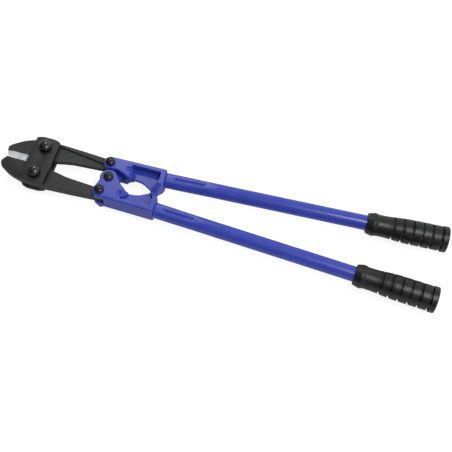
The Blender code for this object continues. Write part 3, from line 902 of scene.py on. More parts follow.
GROUND_EDGE = Finish("ground_edge", colour=(0.86, 0.86, 0.86), shade=(0.62, 0.62, 0.63),
                     roughness=(0.34, 0.48), metallic=0.1, fineness=2600.0, relief=0.00002,
                     marks=0.5, worn=(0.92, 0.92, 0.92), ground=True)
RUBBER = Finish("moulded_rubber", colour=(0.0038, 0.0038, 0.0039),
                shade=(0.0026, 0.0026, 0.0027), roughness=(0.32, 0.40), metallic=0.0,
                fineness=1500.0, relief=0.00001, pits=0.05, marks=0.3,
                worn=(0.010, 0.010, 0.0102), specular=0.4)


def dress(piece: bpy.types.Object, *finishes: Finish) -> bpy.types.Object:
    """Give a piece its finishes.

    Args:
        piece: the piece.
        finishes: the finish of each material slot.

    Returns:
        The piece.
    """
    piece.data.materials.clear()
    for finish in finishes:
        piece.data.materials.append(finish.material())
    return piece


# ------------------------------------------------------------------------------ straps
@dataclass
class Strap:
    """Side plate between the two jaw bolts, with arched ends and a rolled edge."""

    layout: Layout
    width: float = 34.8 * MM
    overhang: float = 16.0 * MM
    crown: float = 3.0 * MM
    corner: float = 3.0 * MM
    inner: float = 6.3 * MM
    thickness: float = 5.0 * MM
    hole: float = 5.2 * MM
    edge: float = 0.7 * MM

    def outline(self) -> list[Point]:
        """The plate's edge.

        Returns:
            Its points, about the handle pivot.
        """
        half = self.width / 2
        tip = self.layout.jaw.y + self.overhang
        shoulder = tip - self.crown
        ends = []
        for sign in (1, -1):
            ends += [(sign * half, sign * shoulder, self.corner),
                     (sign * half / 2, sign * tip, half),
                     (-sign * half / 2, sign * tip, half),
                     (-sign * half, sign * shoulder, self.corner)]
        return [(self.layout.jaw.x + x, y) for x, y in filleted(ends)]

    def build(self, face: Face) -> bpy.types.Object:
        """Make the plate of one face and hand it over.

        Args:
            face: the face of the jaws that it lies on.

        Returns:
            The plate.
        """
        name = "strap_front" if face is Face.FRONT else "strap_rear"
        jaw = self.layout.jaw
        holes = [arc((jaw.x, side.sign * jaw.y), self.hole, 354, 0) for side in Side]
        piece = slab(f"{name}_plate", [self.outline(), *holes],
                     *face.span(self.inner, self.inner + self.thickness))
        modify(piece, 'BEVEL', width=self.edge, segments=3, limit_method='ANGLE',
               angle_limit=math.radians(50))
        self.layout.place(shade(dress(piece, PLATE_BLACK)))
        report(piece, "strap_frame", name)
        return piece


# ------------------------------------------------------------------------------ jaws
@dataclass
class Jaw:
    """Forged jaw: ground cutting bevel, facetted nose, webbed arm and drilled tail."""

    layout: Layout
    side: Side
    half: float = 6.0 * MM
    web: float = 3.5 * MM
    draft: float = 1.6 * MM
    bevel_rise: float = 5.0 * MM
    edge_land: float = 0.2 * MM
    bevel_end: float = 15.4 * MM
    gap: float = 0.15 * MM
    stock: float = 1.0 * MM
    pivot_hole: float = 5.2 * MM
    tail_hole: float = 4.3 * MM
    tail_radius: float = 7.6 * MM
    nose_tilt: float = 12.0
    crease: Point = (-31.5 * MM, -6.8 * MM)
    crease_angle: float = 39.4
    grain: float = 0.42 * MM
    rounds: int = 5

    def nose(self) -> list[Corner]:
        """The nose's edge, from the crown to the cutting tip.

        Returns:
            Its corners, about the jaw pivot.
        """
        tip_y = self.gap - self.stock - self.layout.jaw.y
        crown = [(-16.5 * MM, 12.7 * MM, 40 * MM), (-34.5 * MM, 6.4 * MM, 40 * MM)]
        if self.side is Side.UPPER:
            front = [(-50.0 * MM, -4.6 * MM, 8 * MM), (-53.3 * MM, -9.4 * MM, 1.5 * MM),
                     (-49.2 * MM, tip_y, 0.3 * MM)]
        else:
            crown[1] = (-35.5 * MM, 8.0 * MM, 40 * MM)
            front = [(-52.0 * MM, -2.0 * MM, 6 * MM), (-55.0 * MM, -9.2 * MM, 5 * MM),
                     (-49.0 * MM, -15.8 * MM, 3 * MM), (-48.0 * MM, tip_y, 0.3 * MM)]
        return crown + front

    def outline(self) -> list[Point]:
        """The forging's edge, with stock left on the cutting edge.

        Returns:
            Its points, about the handle pivot.
        """
        jaw, tail = self.layout.jaw, self.layout.tail
        neck = jaw.x + 17.4 * MM
        inner = [(jaw.x - 12 * MM, self.gap - self.stock, 4 * MM), (neck, 6.8 * MM, 30 * MM),
                 (jaw.x + 42 * MM, 12.0 * MM, 60 * MM)]
        outer = [(jaw.x + 54 * MM, 33.5 * MM, 60 * MM), (neck, 35.2 * MM, 30 * MM),
                 (jaw.x, 35.9 * MM, 40 * MM)]
        nose = [(jaw.x + x, jaw.y + y, r) for x, y, r in self.nose()]
        return filleted(inner + plain(arc(tail, self.tail_radius, -92, 88)) + outer + nose)

    def arm_hollow(self) -> list[Point]:
        """The hollow of the arm's face, which leaves a rim outside and a boss at the tail.

        Returns:
            Its points, about the handle pivot.
        """
        jaw, tail = self.layout.jaw, self.layout.tail
        end = tail.x - self.tail_radius - 1.5 * MM
        start = jaw.x + 13 * MM
        return filleted([(start, -5 * MM, 0), (end, -5 * MM, 0), (end, tail.y - 0.9 * MM, 2 * MM),
                         (jaw.x + 53 * MM, 27.0 * MM, 60 * MM), (start, 31.9 * MM, 4 * MM)])

    def blank(self) -> bpy.types.Object:
        """Forge the blank: outline, hollow arm and bolt holes, all with soft edges.

        Returns:
            The blank.
        """
        piece = slab(f"jaw_{self.side.value}_forging", [self.outline()], -self.half, self.half)
        reach = 20 * MM
        for face in Face:
            hollow = slab("hollow", [self.arm_hollow()], *face.span(self.web, reach))
            flare_rim(hollow, face.value * reach, self.draft)
            combine(piece, hollow)
        for centre, radius in ((self.layout.jaw, self.pivot_hole),
                               (self.layout.tail, self.tail_hole)):
            combine(piece, rod("drill", centre, radius, -reach, reach))
        return forge(piece, self.grain, self.rounds)

    def flank(self, face: Face) -> bpy.types.Object:
        """The cutter that slopes the nose off beyond its crease.

        Args:
            face: the face that it cuts.

        Returns:
            The cutter.
        """
        turn = (Matrix.Rotation(math.radians(self.crease_angle), 4, 'Z')
                @ Matrix.Rotation(math.radians(-self.nose_tilt), 4, 'X'))
        place = (self.layout.jaw.x + self.crease[0], self.layout.jaw.y + self.crease[1],
                 self.half)
        return facing(block("flank", (240 * MM, 240 * MM, OVERCUT), turn, place), face)

    def wheel(self) -> bpy.types.Object:
        """The grinding wheel's path: it trues the edge and bevels it on both faces.

        Returns:
            The cutter.
        """
        run = self.half - self.edge_land
        over = 12 * MM
        rise = self.gap + self.bevel_rise * (over - self.edge_land) / run
        section = [(-over, -over), (rise, -over), (self.gap, -self.edge_land),
                   (self.gap, self.edge_land), (rise, over), (-over, over)]
        length = 80 * MM
        cutter = slab("wheel", [section], 0.0, length)
        stand = Matrix(((0, 0, -1, 0), (1, 0, 0, 0), (0, 1, 0, 0), (0, 0, 0, 1)))
        end = self.layout.jaw.x - self.bevel_end
        cutter.matrix_world = Matrix.Translation((end, 0, 0)) @ stand
        return close_up(settle(cutter))

    def build(self) -> bpy.types.Object:
        """Make the jaw and hand it over.

        Returns:
            The jaw.
        """
        piece = dress(self.blank(), FORGING_BLACK)
        for face in Face:
            combine(piece, dress(self.flank(face), FORGING_BLACK))
        combine(piece, dress(self.wheel(), GROUND_EDGE))
        self.layout.place(shade(close_up(piece), angle=28), self.side)
        node = f"jaw_{self.side.value}"
        report(piece, node, node)
        return piece


# ------------------------------------------------------------------------------ fasteners
@dataclass(frozen=True)
class BoltSize:
    """The sizes of a domed bolt with its lock washer and nut.

    The head's wall is a share of its height, and the rest of it is dome.
    """

    shank: float
    head: float
    height: float
    wall: float
    flats: float
    nut: float
    pitch: float


JAW_BOLT = BoltSize(shank=5.0 * MM, head=9.0 * MM, height=10.0 * MM, wall=0.42, flats=17.0 * MM,
                    nut=8.0 * MM, pitch=1.5 * MM)
HANDLE_BOLT = BoltSize(shank=4.0 * MM, head=6.85 * MM, height=5.8 * MM, wall=0.36,
                       flats=13.0 * MM, nut=6.5 * MM, pitch=1.25 * MM)


@dataclass
class Fastener:
    """One pivot's bolt, split lock washer and nut."""

    layout: Layout
    name: str
    body: str
    centre: Vector
    seat: float
    size: BoltSize
    finish: Finish
    clearance: float = 0.3 * MM
    seat_gap: float = 0.02 * MM
    head_ease: float = 0.5 * MM
    dome_facets: int = 18
    bore_gap: float = 0.25 * MM
    washer_rim: float = 4.6 * MM
    washer_thickness: float = 2.2 * MM
    washer_split: float = 0.6 * MM
    washer_edge: float = 0.3 * MM
    nut_gap: float = 0.05 * MM
    nut_edge: float = 0.18 * MM
    nut_turned: float = 0.62
    nut_flat: float = 0.97
    thread_end: float = 1.5 * MM
    thread_point: float = 0.8 * MM

    def washer_top(self) -> float:
        """The height of the washer's upper face, below the rear seat."""
        return -self.seat - self.clearance

    def nut_top(self) -> float:
        """The height of the nut's upper face."""
        return self.washer_top() - self.washer_thickness - self.nut_gap

    def bolt(self) -> bpy.types.Object:
        """Domed head, shank and the threaded end that stands past the nut.

        Returns:
            The bolt.
        """
        size = self.size
        base = self.seat + self.seat_gap
        top = self.seat + self.clearance + size.height
        shoulder = base + size.height * size.wall
        ease, facets = self.head_ease, self.dome_facets
        angles = [math.pi / 2 * i / facets for i in range(1, facets + 1)]
        dome = [(size.head * math.sin(a), shoulder + (top - shoulder) * math.cos(a))
                for a in angles]
        foot = [(size.head, base + ease), (size.head - ease * 0.3, base + ease * 0.3),
                (size.head - ease, base)]
        end = self.nut_top() - size.nut - self.thread_end - self.clearance
        depth = size.pitch * 0.3
        turns = []
        level = self.nut_top()
        while level > end + 1.5 * self.thread_point:
            turns += [(size.shank, level), (size.shank - depth, level - size.pitch / 2)]
            level -= size.pitch
        point = [(size.shank, level), (size.shank - self.thread_point, end), (0, end)]
        profile = [(0, top), *dome, *foot, (size.shank, base), *turns, *point]
        return shade(lathe(f"{self.name}_bolt_turned", profile, steps=64), angle=40)

    def washer(self) -> bpy.types.Object:
        """A spring steel ring round the bolt, cut through square on its right.

        Returns:
            The washer.
        """
        inner = self.size.shank + self.bore_gap
        outer = self.size.shank + self.washer_rim
        low, high = self.washer_top() - self.washer_thickness, self.washer_top()
        wide, narrow = (math.degrees(math.asin(self.washer_split / radius))
                        for radius in (outer, inner))
        ring = arc((0, 0), outer, wide, 360 - wide) + arc((0, 0), inner, 360 - narrow, narrow)
        piece = slab(f"{self.name}_washer_wound", [ring], low, high)
        for level in (low, high):
            round_rim(piece, level, self.washer_edge, segments=2)
        return shade(close_up(piece), angle=40)

    def nut(self) -> bpy.types.Object:
        """Hexagon nut with its corners turned down on both faces.

        Returns:
            The nut.
        """
        size = self.size
        corner = size.flats / math.sqrt(3)
        high = self.nut_top()
        low = high - size.nut
        piece = rod(f"{self.name}_nut_hexagon", (0, 0), corner, low, high, sides=6)
        drop = (corner - size.flats / 2) * self.nut_turned
        flat = size.flats / 2 * self.nut_flat
        past = corner + 0.1 * MM
        cone = [(0, high), (flat, high), (past, high - drop), (past, low + drop), (flat, low),
                (0, low)]
        combine(piece, lathe("turning", cone, steps=72), 'INTERSECT')
        combine(piece, rod("bore", (0, 0), size.shank + self.bore_gap, low - MM, high + MM))
        with editing(close_up(piece)):
            bpy.ops.mesh.dissolve_limited(angle_limit=math.radians(0.5))
        modify(piece, 'BEVEL', width=self.nut_edge, segments=2, limit_method='ANGLE',
               angle_limit=math.radians(35))
        return shade(piece, angle=30)

    def build(self) -> None:
        """Make the three pieces and hand them over."""
        for piece, node in ((self.bolt(), "bolt"), (self.washer(), "lock_washer"),
                            (self.nut(), "nut")):
            piece.location = (*self.centre, 0)
            settle(piece)
            dress(piece, self.finish if node == "bolt" else PIN_BLACK)
            self.layout.place(piece)
            report(piece, self.body, f"{self.name}_{node}")


# ------------------------------------------------------------------------------ handle heads
@dataclass
class HandleHead:
    """Forged head: jaw fork, half-lapped pivot lobe, pocketed body, stop lug and collar."""

    layout: Layout
    side: Side
    axis: TubeAxis = TubeAxis()
    half: float = 13.6 * MM
    web: float = 2.0 * MM
    lap: float = 0.15 * MM
    overlap: float = 1.0 * MM
    fork_radius: float = 9.8 * MM
    fork_hole: float = 4.2 * MM
    lobe_radius: float = 12.2 * MM
    lobe_hole: float = 4.2 * MM
    loose_hole: float = 7.3 * MM
    slot_half: float = 6.3 * MM
    lug_half: float = 6.5 * MM
    lug_run: float = 11.0 * MM
    edge: float = 1.6 * MM
    corner: float = 2.2 * MM
    collar_half: float = 10.0 * MM
    rim: float = 7.1 * MM
    draft: float = 2.2 * MM
    run_out_foot: Point = (24.8 * MM, 20.0 * MM)
    run_out_fall: float = math.radians(50)
    run_out_turn: float = math.radians(7)
    dimple: Point = (22.4 * MM, 20.2 * MM)
    dimple_ball: float = 4.7 * MM
    dimple_depth: float = 2.6 * MM
    spigot_radius: float = 6.3 * MM
    grain: float = 0.45 * MM
    rounds: int = 6

    @property
    def outer_y(self) -> float:
        """The Y of the head's outer edge at the collar."""
        return self.axis.y + self.collar_half

    def collar_face(self, y: float) -> float:
        """The X of the collar's end face, which is square to the tube, at a Y."""
        return self.axis.x - (y - self.axis.y) * math.tan(self.axis.slope)

    def rear(self) -> list[Corner]:
        """The edge that both laps share: eye, stop lug, collar and outer side.

        Returns:
            Its corners, about the handle pivot.
        """
        collar = self.axis.x
        step = self.axis.y - self.collar_half - 1 * MM
        return [(33.5 * MM, 11.8 * MM, 8 * MM), (46 * MM, 10.6 * MM, 30 * MM),
                (collar - 14 * MM, 1.4 * MM, 1 * MM), (collar - 12.8 * MM, self.lap, 0),
                (collar - 5.8 * MM, self.lap, self.corner),
                (self.collar_face(step), step, self.corner),
                (self.collar_face(self.outer_y), self.outer_y, self.corner)]

    def recessed_lap(self) -> list[Point]:
        """The lap that clears the other head's lobe.

        Returns:
            Its points, about the handle pivot.
        """
        wall = [(7 * MM, 14.3 * MM, 6 * MM), (17 * MM, 11.0 * MM, 8 * MM),
                (24.6 * MM, 7.2 * MM, self.corner), (28.3 * MM, 9.3 * MM, 1 * MM)]
        fork = plain(arc(self.layout.tail, self.fork_radius, 92, 270))
        return filleted(wall + self.rear() + fork)

    def lobed_lap(self) -> list[Point]:
        """The lap that carries the pivot lobe.

        Returns:
            Its points, about the handle pivot.
        """
        tail = self.layout.tail
        if self.side is Side.UPPER:
            leave = 30.0
            flank = [(12.2 * MM, 10.4 * MM, 3 * MM), (21.6 * MM, 9.4 * MM, self.corner),
                     (25.6 * MM, 14.6 * MM, 1 * MM)]
        else:
            corner = Vector((17.9 * MM, 4.1 * MM))
            leave = math.degrees(math.atan2(corner.y, corner.x)
                                 - math.acos(self.lobe_radius / corner.length))
            flank = [(*corner, 1 * MM), (28.6 * MM, 12.6 * MM, 1 * MM)]
        disc = plain(arc((0, 0), self.lobe_radius, 150, 360 + leave))
        fork = plain(arc(tail, self.fork_radius, 92, 210))
        waist = [(tail.x - 0.62 * self.fork_radius, tail.y - 1.2 * self.fork_radius, 3 * MM)]
        return filleted(disc + flank + self.rear() + fork + waist)

    def pocket(self) -> list[Point]:
        """The pocket between rim, collar and pivot end; it runs out over the eye.

        Returns:
            Its points, about the handle pivot.
        """
        collar = self.axis.x
        wall = collar - 8 * MM
        top = self.outer_y - self.rim
        return filleted([(24.2 * MM, top, 2 * MM), (27.6 * MM, 22.5 * MM, 4 * MM),
                         (32.6 * MM, 18 * MM, 6 * MM), (34.5 * MM, -OVERCUT, 0),
                         (collar - 15 * MM, -OVERCUT, 0),
                         (collar - 14.5 * MM, 2.4 * MM, 2 * MM), (wall, 13 * MM, 8 * MM),
                         (wall, top, 3 * MM)])

    def slot(self) -> list[Point]:
        """The fork's slot, open at its end and on its outer side.

        Returns:
            Its points, about the handle pivot.
        """
        tail = self.layout.tail
        reach = 8.4 * MM
        floor = tail.y - self.fork_radius
        return filleted([(tail.x - OVERCUT, floor, 0), (tail.x + reach, floor, reach),
                         (tail.x + reach, tail.y + OVERCUT, 0),
                         (tail.x - OVERCUT, tail.y + OVERCUT, 0)])

    def pocket_cutter(self, face: Face) -> bpy.types.Object:
        """The die that presses the pocket, with draft on its walls.

        Args:
            face: the face that it cuts.

        Returns:
            The cutter.
        """
        reach = 40 * MM
        cutter = slab("pocket", [self.pocket()], *face.span(self.web, reach))
        flare_rim(cutter, face.value * reach, self.draft)
        return cutter

    def run_out(self, face: Face) -> bpy.types.Object:
        """The cutter that ramps the pocket's end down from the pivot end's face.

        Args:
            face: the face that it cuts.

        Returns:
            The cutter.
        """
        turn = (Matrix.Rotation(self.run_out_turn, 4, 'Z')
                @ Matrix.Rotation(self.run_out_fall, 4, 'Y'))
        length, reach = (self.half - self.web) / math.sin(self.run_out_fall), 50 * MM
        foot = (Vector((*self.run_out_foot, self.half))
                + turn @ Vector((length / 2, 6 * MM - reach / 2, 0)))
        return facing(block("run_out", (length, reach, OVERCUT), turn, foot), face)

    def lug_ramp(self, face: Face) -> bpy.types.Object:
        """The cutter that slopes the face down to the thinner stop lug.

        Args:
            face: the face that it cuts.

        Returns:
            The cutter.
        """
        slope = math.atan2(self.half - self.lug_half, self.lug_run)
        cutter = block("ramp", (60 * MM, 60 * MM, OVERCUT), Matrix.Rotation(slope, 4, 'X'),
                       (self.axis.x, 0, self.lug_half))
        return facing(cutter, face)

    def dimple_cutter(self, face: Face) -> bpy.types.Object:
        """The ball that sinks the dimple beside the pocket.

        Args:
            face: the face that it cuts.

        Returns:
            The cutter.
        """
        height = face.value * (self.half - self.dimple_depth + self.dimple_ball)
        put_down()
        bpy.ops.mesh.primitive_uv_sphere_add(segments=48, ring_count=24,
                                             radius=self.dimple_ball,
                                             location=(*self.dimple, height))
        return settle(bpy.context.object)

    def spigot(self) -> bpy.types.Object:
        """The stub that the tube is pressed onto, rooted in the collar."""
        return self.axis.lay(rod("spigot", (0, 0), self.spigot_radius, -4 * MM, 38 * MM))

    def build(self) -> bpy.types.Object:
        """Make the head and hand it over.

        Returns:
            The head.
        """
        piece = slab(f"head_{self.side.value}_forging", [self.recessed_lap()],
                     -self.lap - self.overlap, self.half)
        round_rim(piece, self.half, self.edge)
        lobe = slab("lobe", [self.lobed_lap()], -self.half, -self.lap)
        round_rim(lobe, -self.half, self.edge)
        combine(piece, lobe, 'UNION')
        for face in Face:
            for cutter in (self.pocket_cutter, self.run_out, self.lug_ramp, self.dimple_cutter):
                combine(piece, cutter(face))
        combine(piece, slab("slot", [self.slot()], -self.slot_half, self.slot_half))
        pivot_hole = self.loose_hole if self.side is Side.UPPER else self.lobe_hole
        for centre, radius in ((self.layout.tail, self.fork_hole), ((0, 0), pivot_hole)):
            combine(piece, rod("drill", centre, radius, -OVERCUT, OVERCUT))
        combine(piece, self.spigot(), 'UNION')
        forge(piece, self.grain, self.rounds)
        self.layout.place(shade(dress(piece, ENAMEL), angle=50), self.side)
        report(piece, f"handle_{self.side.value}", f"handle_head_{self.side.value}")
        return piece


# ------------------------------------------------------------------------------ tubes and grips
@dataclass
class Handle:
    """Tube handle with its pressed lock groove, and the rubber grip pushed onto its end."""

    layout: Layout
    side: Side
    axis: TubeAxis = TubeAxis()
    radius: float = 10.5 * MM
    wall: float = 1.8 * MM
    length: float = 389.7 * MM
    collar_gap: float = 0.3 * MM
    press_length: float = 82.0 * MM
    press_cuts: int = 70
    oval: float = 0.45 * MM
    oval_end: float = 20.0 * MM
    oval_fade: float = 40.0 * MM
    flat: float = 1.8 * MM
    flat_end: float = 46.0 * MM
    flat_fade: float = 34.0 * MM
    flat_give: float = 0.12
    groove: tuple[float, float] = (13.0 * MM, 52.0 * MM)
    groove_half: float = 2.1 * MM
    groove_depth: float = 1.5 * MM
    grip_start: float = 284.0 * MM

    def press(self, place: Vector) -> Vector:
        """Where a point of the round tube's skin lies once its collar end is pressed.

        Args:
            place: the point, with the tube upright and its collar end at Z 0.

        Returns:
            The pressed place.
        """
        share = 1 - smoothstep((place.z - self.oval_end) / self.oval_fade)
        pressed = Vector((place.x * (1 - self.oval * share / self.radius),
                          place.y * (1 + self.oval * share / self.radius), place.z))
        height = abs(pressed.x)
        out = 1 if pressed.x > 0 else -1
        runout = 1 - smoothstep((place.z - self.flat_end) / self.flat_fade)
        ceiling = self.radius - self.oval * share - self.flat * runout
        if runout > 0 and height > ceiling:
            height = ceiling + (height - ceiling) * self.flat_give
        start, end = self.groove
        past = max(start - place.z, place.z - end, 0.0)
        reach = math.hypot(past * 0.45, pressed.y) / self.groove_half
        if height > 4 * MM:
            height -= self.groove_depth * (1 - smoothstep(reach * 0.85))
        return Vector((out * height, pressed.y, place.z))

    def tube(self) -> bpy.types.Object:
        """Draw the tube, press its collar end, give it its wall and hand it over.

        Returns:
            The tube.
        """
        piece = rod(f"tube_{self.side.value}_drawn", (0, 0), self.radius, self.collar_gap,
                    self.length, sides=96)
        with editing(piece, select=False) as mesh:
            for face in mesh.faces:
                face.select = abs(face.normal.z) > 0.5
            bpy.ops.mesh.delete(type='ONLY_FACE')
        for level in (self.press_length, 10 * MM):
            with editing(piece):
                bpy.ops.mesh.bisect(plane_co=(0, 0, level), plane_no=(0, 0, 1))
        with editing(piece, select=False) as mesh:
            for edge in mesh.edges:
                low, high = sorted(v.co.z for v in edge.verts)
                edge.select = high - low > 5 * MM and high < self.press_length + MM
            bpy.ops.mesh.subdivide(number_cuts=self.press_cuts)
        with editing(piece) as mesh:
            for vertex in mesh.verts:
                vertex.co = self.press(vertex.co)
        modify(piece, 'SOLIDIFY', thickness=self.wall, offset=-1.0)
        shade(dress(piece, ENAMEL), angle=40)
        self.layout.place(self.axis.lay(piece), self.side)
        report(piece, f"handle_{self.side.value}", f"handle_tube_{self.side.value}")
        return piece

    def build(self) -> None:
        """Make the tube and its grip."""
        self.tube()
        Grip(self.layout, self.side).build(self.axis, self.grip_start)


@dataclass
class Grip:
    """Moulded rubber grip: rolled mouth, waisted neck and three-part grooves round the body."""

    layout: Layout
    side: Side
    length: float = 112.0 * MM
    bore: float = 10.6 * MM
    end_wall: float = 6.0 * MM
    end_edge: float = 1.6 * MM
    lip: float = 1.4 * MM
    mouth: float = 16.3 * MM
    mouth_edge: float = 13.9 * MM
    mouth_length: float = 9.5 * MM
    neck: float = 14.9 * MM
    neck_span: tuple[float, float] = (9.2 * MM, 7.6 * MM)
    body: float = 17.0 * MM
    body_span: tuple[float, float] = (21.0 * MM, 42.0 * MM)
    crown: float = 0.28 * MM
    flange: float = 18.0 * MM
    first_groove: float = 36.6 * MM
    pitch: float = 13.2 * MM
    count: int = 6
    groove_half: float = 1.35 * MM
    groove_depth: float = 2.6 * MM
    ridge: float = 0.22 * MM
    ridge_width: float = 3.0 * MM
    bridges: int = 3
    bridge_half: float = math.radians(15)
    bridge_turn: float = math.radians(67)
    step: float = 0.45 * MM
    sides: int = 120

    @staticmethod
    def rounding(distance: float, radius: float) -> float:
        """How far a round of a radius drops the skin at a distance from the edge."""
        ease = max(0.0, 1 - distance / radius)
        return radius * (1 - math.sqrt(max(0.0, 1 - ease ** 2)))

    def radius_at(self, along: float) -> float:
        """The outer radius before the grooves are sunk.

        Args:
            along: the length from the mouth.

        Returns:
            The radius there.
        """
        last = self.first_groove + self.pitch * (self.count - 1)
        opening = min(1.0, along / self.mouth_length)
        radius = self.mouth_edge + (self.mouth - self.mouth_edge) * opening
        radius -= self.rounding(along, self.lip)
        for change, (start, run) in ((self.neck - self.mouth, self.neck_span),
                                     (self.body - self.neck, self.body_span)):
            radius += change * smoothstep((along - start) / run)
        rib = (along - self.first_groove) / self.pitch
        if 0 < rib < self.count - 1:
            radius += self.crown * math.sin(math.pi * (rib % 1.0))
        for i in range(self.count):
            before = self.first_groove + self.pitch * i - self.groove_half - along
            if 0 < before < self.ridge_width:
                radius += self.ridge * (1 - before / self.ridge_width)
        if along > last + self.groove_half:
            radius = self.flange
        return radius - self.rounding(self.length - along, self.end_edge)

    def profile(self) -> list[Point]:
        """The turned shape, from the closed end's middle round to the bore's end.

        Returns:
            Its points, as radius and height.
        """
        stations = math.ceil(self.length / self.step)
        outer = [(self.radius_at(self.length * i / stations), self.length * i / stations)
                 for i in range(stations + 1)]
        ease = 0.6 * MM
        end = [(0.0, self.length - ease), (self.flange - 4.6 * MM, self.length - ease),
               (self.flange - 4.0 * MM, self.length)]
        depth = self.length - self.end_wall
        bore = [(self.bore, 0.0), (self.bore, depth), (0.0, depth)]
        return end + list(reversed(outer)) + bore

    def carve(self, place: Vector) -> Vector:
        """Sink the skin into the grooves, which stop short at each bridge.

        Args:
            place: a point of the turned skin.

        Returns:
            Where it comes to lie.
        """
        radius = math.hypot(place.x, place.y)
        if radius < self.bore + 1 * MM:
            return place
        angle = math.atan2(place.y, -place.x * self.side.sign)
        sector = math.tau / self.bridges
        turn = (angle - self.bridge_turn) % sector
        off = min(turn, sector - turn)
        inside = max(0.0, self.bridge_half - off) * radius
        depth = 0.0
        for i in range(self.count):
            middle = self.first_groove + self.pitch * i
            gap = math.hypot(place.z - middle, inside) / self.groove_half
            if gap < 1.6:
                depth = max(depth, self.groove_depth * (1 - smoothstep((gap - 0.45) / 0.75)))
        share = (radius - depth) / radius
        return Vector((place.x * share, place.y * share, place.z))

    def build(self, axis: TubeAxis, start: float) -> bpy.types.Object:
        """Make the grip and hand it over.

        Args:
            axis: the handle's axis.
            start: how far along it the grip's mouth is.

        Returns:
            The grip.
        """
        piece = lathe(f"grip_{self.side.value}_moulding", self.profile(), self.sides)
        with editing(piece) as mesh:
            for vertex in mesh.verts:
                vertex.co = self.carve(vertex.co)
        shade(dress(piece, RUBBER), angle=40)
        self.layout.place(axis.lay(piece, start), self.side)
        report(piece, f"handle_{self.side.value}", f"grip_{self.side.value}")
        return piece


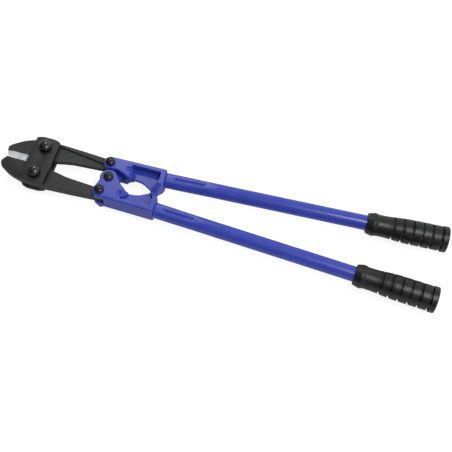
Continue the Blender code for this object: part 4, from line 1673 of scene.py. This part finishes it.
# ------------------------------------------------------------------------------ studio
@dataclass
class Studio:
    """Pale floor, soft lights and the camera."""

    layout: Layout
    elevation: float = 62.0
    azimuth: float = 12.37
    roll: float = 3.94
    distance: float = 1.1001
    aim: Point = (175.3 * MM, -20.2 * MM)
    lens: float = 64.19
    sensor: float = 36.0
    floor_size: float = 12.0
    floor_level: float = -0.2 * MM
    floor_grey: float = 0.80
    floor_glow: float = 1.22
    glow_share: float = 0.7
    room_light: tuple[float, float] = (0.10, 1.12)
    room_colour: Colour = (0.97, 0.98, 1.0)

    def camera(self) -> None:
        """Set the camera over the tool, looking down on its near side."""
        put_down()
        bpy.ops.object.camera_add()
        camera = bpy.context.object
        camera.data.lens = self.lens
        camera.data.sensor_width = self.sensor
        turn, rise = math.radians(self.azimuth), math.radians(self.elevation)
        back = Vector((math.sin(turn) * math.cos(rise), -math.cos(turn) * math.cos(rise),
                       math.sin(rise)))
        right = (-back).cross(Vector((0, 0, 1))).normalized()
        up = right.cross(-back)
        lean = math.radians(self.roll)
        across = right * math.cos(lean) + up * math.sin(lean)
        upward = up * math.cos(lean) - right * math.sin(lean)
        place = self.layout.origin + Vector((*self.aim, 0)) + back * self.distance
        axes = Matrix((across, upward, back)).transposed().to_4x4()
        camera.matrix_world = Matrix.Translation(place) @ axes
        bpy.context.scene.camera = camera

    def softbox(self, name: str, place: Sequence[float], target: Sequence[float],
                size: Point, radiance: float) -> None:
        """Hang a soft light that faces the tool.

        Args:
            name: its name.
            place: its centre, about the handle pivot.
            target: the point that it faces, about the handle pivot.
            size: its width and height.
            radiance: how bright its face is, where a white floor under full light is 1.
        """
        put_down()
        bpy.ops.object.light_add(type='AREA', location=self.layout.origin + Vector(place))
        light = bpy.context.object
        light.name = name
        back = Vector(place) - Vector(target)
        light.rotation_euler = back.to_track_quat('Z', 'Y').to_euler()
        light.data.shape = 'RECTANGLE'
        light.data.size, light.data.size_y = size
        light.data.energy = radiance * math.pi * size[0] * size[1]

    def floor(self) -> None:
        """Lay the pale floor that the tool lies on."""
        put_down()
        bpy.ops.mesh.primitive_plane_add(size=self.floor_size,
                                         location=(0, 0, self.floor_level))
        floor = bpy.context.object
        floor.name = "studio_floor"
        material = bpy.data.materials.new("studio_white")
        material.use_nodes = True
        wire = Wiring(material.node_tree)
        shader = material.node_tree.nodes['Principled BSDF']
        shader.inputs['Base Color'].default_value = (*[self.floor_grey] * 3, 1)
        shader.inputs['Roughness'].default_value = 0.9
        shader.inputs['Specular IOR Level'].default_value = 0.0
        glow = wire.node('ShaderNodeEmission')
        glow.inputs['Strength'].default_value = self.floor_glow
        seen = wire.node('ShaderNodeLightPath')
        share = wire.math('MULTIPLY', seen.outputs['Is Camera Ray'], self.glow_share)
        wire.surface(share, shader, glow, 'Material Output')
        floor.data.materials.append(material)

    def sky(self) -> None:
        """Light the room, brighter towards its right and back, and show it pale."""
        world = bpy.data.worlds.new("studio_room")
        bpy.context.scene.world = world
        world.use_nodes = True
        wire = Wiring(world.node_tree)
        room = world.node_tree.nodes['Background']
        toward = wire.node('ShaderNodeSeparateXYZ')
        wire.join(wire.node('ShaderNodeTexCoord').outputs['Generated'], toward.inputs[0])
        across = wire.math('MULTIPLY', toward.outputs['X'], 0.8)
        along = wire.math('MULTIPLY', toward.outputs['Y'], 0.55)
        light = wire.remap(wire.math('ADD', across, along), -0.8, 0.7, *self.room_light)
        room.inputs['Color'].default_value = (*self.room_colour, 1)
        wire.join(light, room.inputs['Strength'])
        pale = wire.node('ShaderNodeBackground')
        seen = wire.node('ShaderNodeLightPath')
        share = wire.math('MAXIMUM', seen.outputs['Is Camera Ray'],
                          seen.outputs['Is Transmission Ray'])
        wire.surface(share, room, pale, 'World Output')

    def build(self) -> None:
        """Set up the whole studio."""
        bpy.context.scene.view_settings.view_transform = 'Standard'
        self.camera()
        self.floor()
        self.sky()
        self.softbox("right_bank", (0.60, -0.28, 1.25), (0.60, 0.0, 0.0), (0.32, 0.62), 13.0)
        self.softbox("back_bank", (-0.27, 0.74, 0.97), (0.0, 0.0, 0.0), (0.34, 0.40), 4.4)


# ------------------------------------------------------------------------------ the tool
@dataclass
class BoltCutters:
    """The whole tool, sub-assembly by sub-assembly."""

    layout: Layout
    strap_seat: float = 11.3 * MM
    head_seat: float = 13.6 * MM

    def fasteners(self) -> list[Fastener]:
        """The bolt, washer and nut of each of the five pivots.

        Returns:
            The fasteners, each with the body that it rides on.
        """
        layout = self.layout
        strap_bolt = (self.strap_seat, JAW_BOLT, BOLT_BLACK)
        head_bolt = (self.head_seat, HANDLE_BOLT, PIN_BLACK)
        found = []
        for side in Side:
            jaw = Vector((layout.jaw.x, side.sign * layout.jaw.y))
            tail = Vector((layout.tail.x, side.sign * layout.tail.y))
            found += [Fastener(layout, f"jaw_{side.value}", "strap_frame", jaw, *strap_bolt),
                      Fastener(layout, f"tail_{side.value}", f"handle_{side.value}", tail,
                               *head_bolt)]
        found.append(Fastener(layout, "handle_pivot", "handle_lower", Vector((0, 0)),
                              *head_bolt))
        return found

    def build(self) -> None:
        """Make every piece in order."""
        for face in Face:
            Strap(self.layout).build(face)
        for side in Side:
            Jaw(self.layout, side).build()
            HandleHead(self.layout, side).build()
            Handle(self.layout, side).build()
        for fastener in self.fasteners():
            fastener.build()


def corners(box: tuple[Vector, Vector]) -> list[list[float]]:
    """A box's two corners as plain lists."""
    return [list(map(float, corner)) for corner in box]


def main(loaded: dict) -> None:
    """Build the tool and the studio.
    """
    logging.basicConfig(level=logging.INFO, format="%(name)s: %(message)s")
    put_down()
    layout = Layout.from_frame(loaded)
    BoltCutters(layout).build()
    Studio(layout).build()


if __name__ == "__main__":
    main(frame)
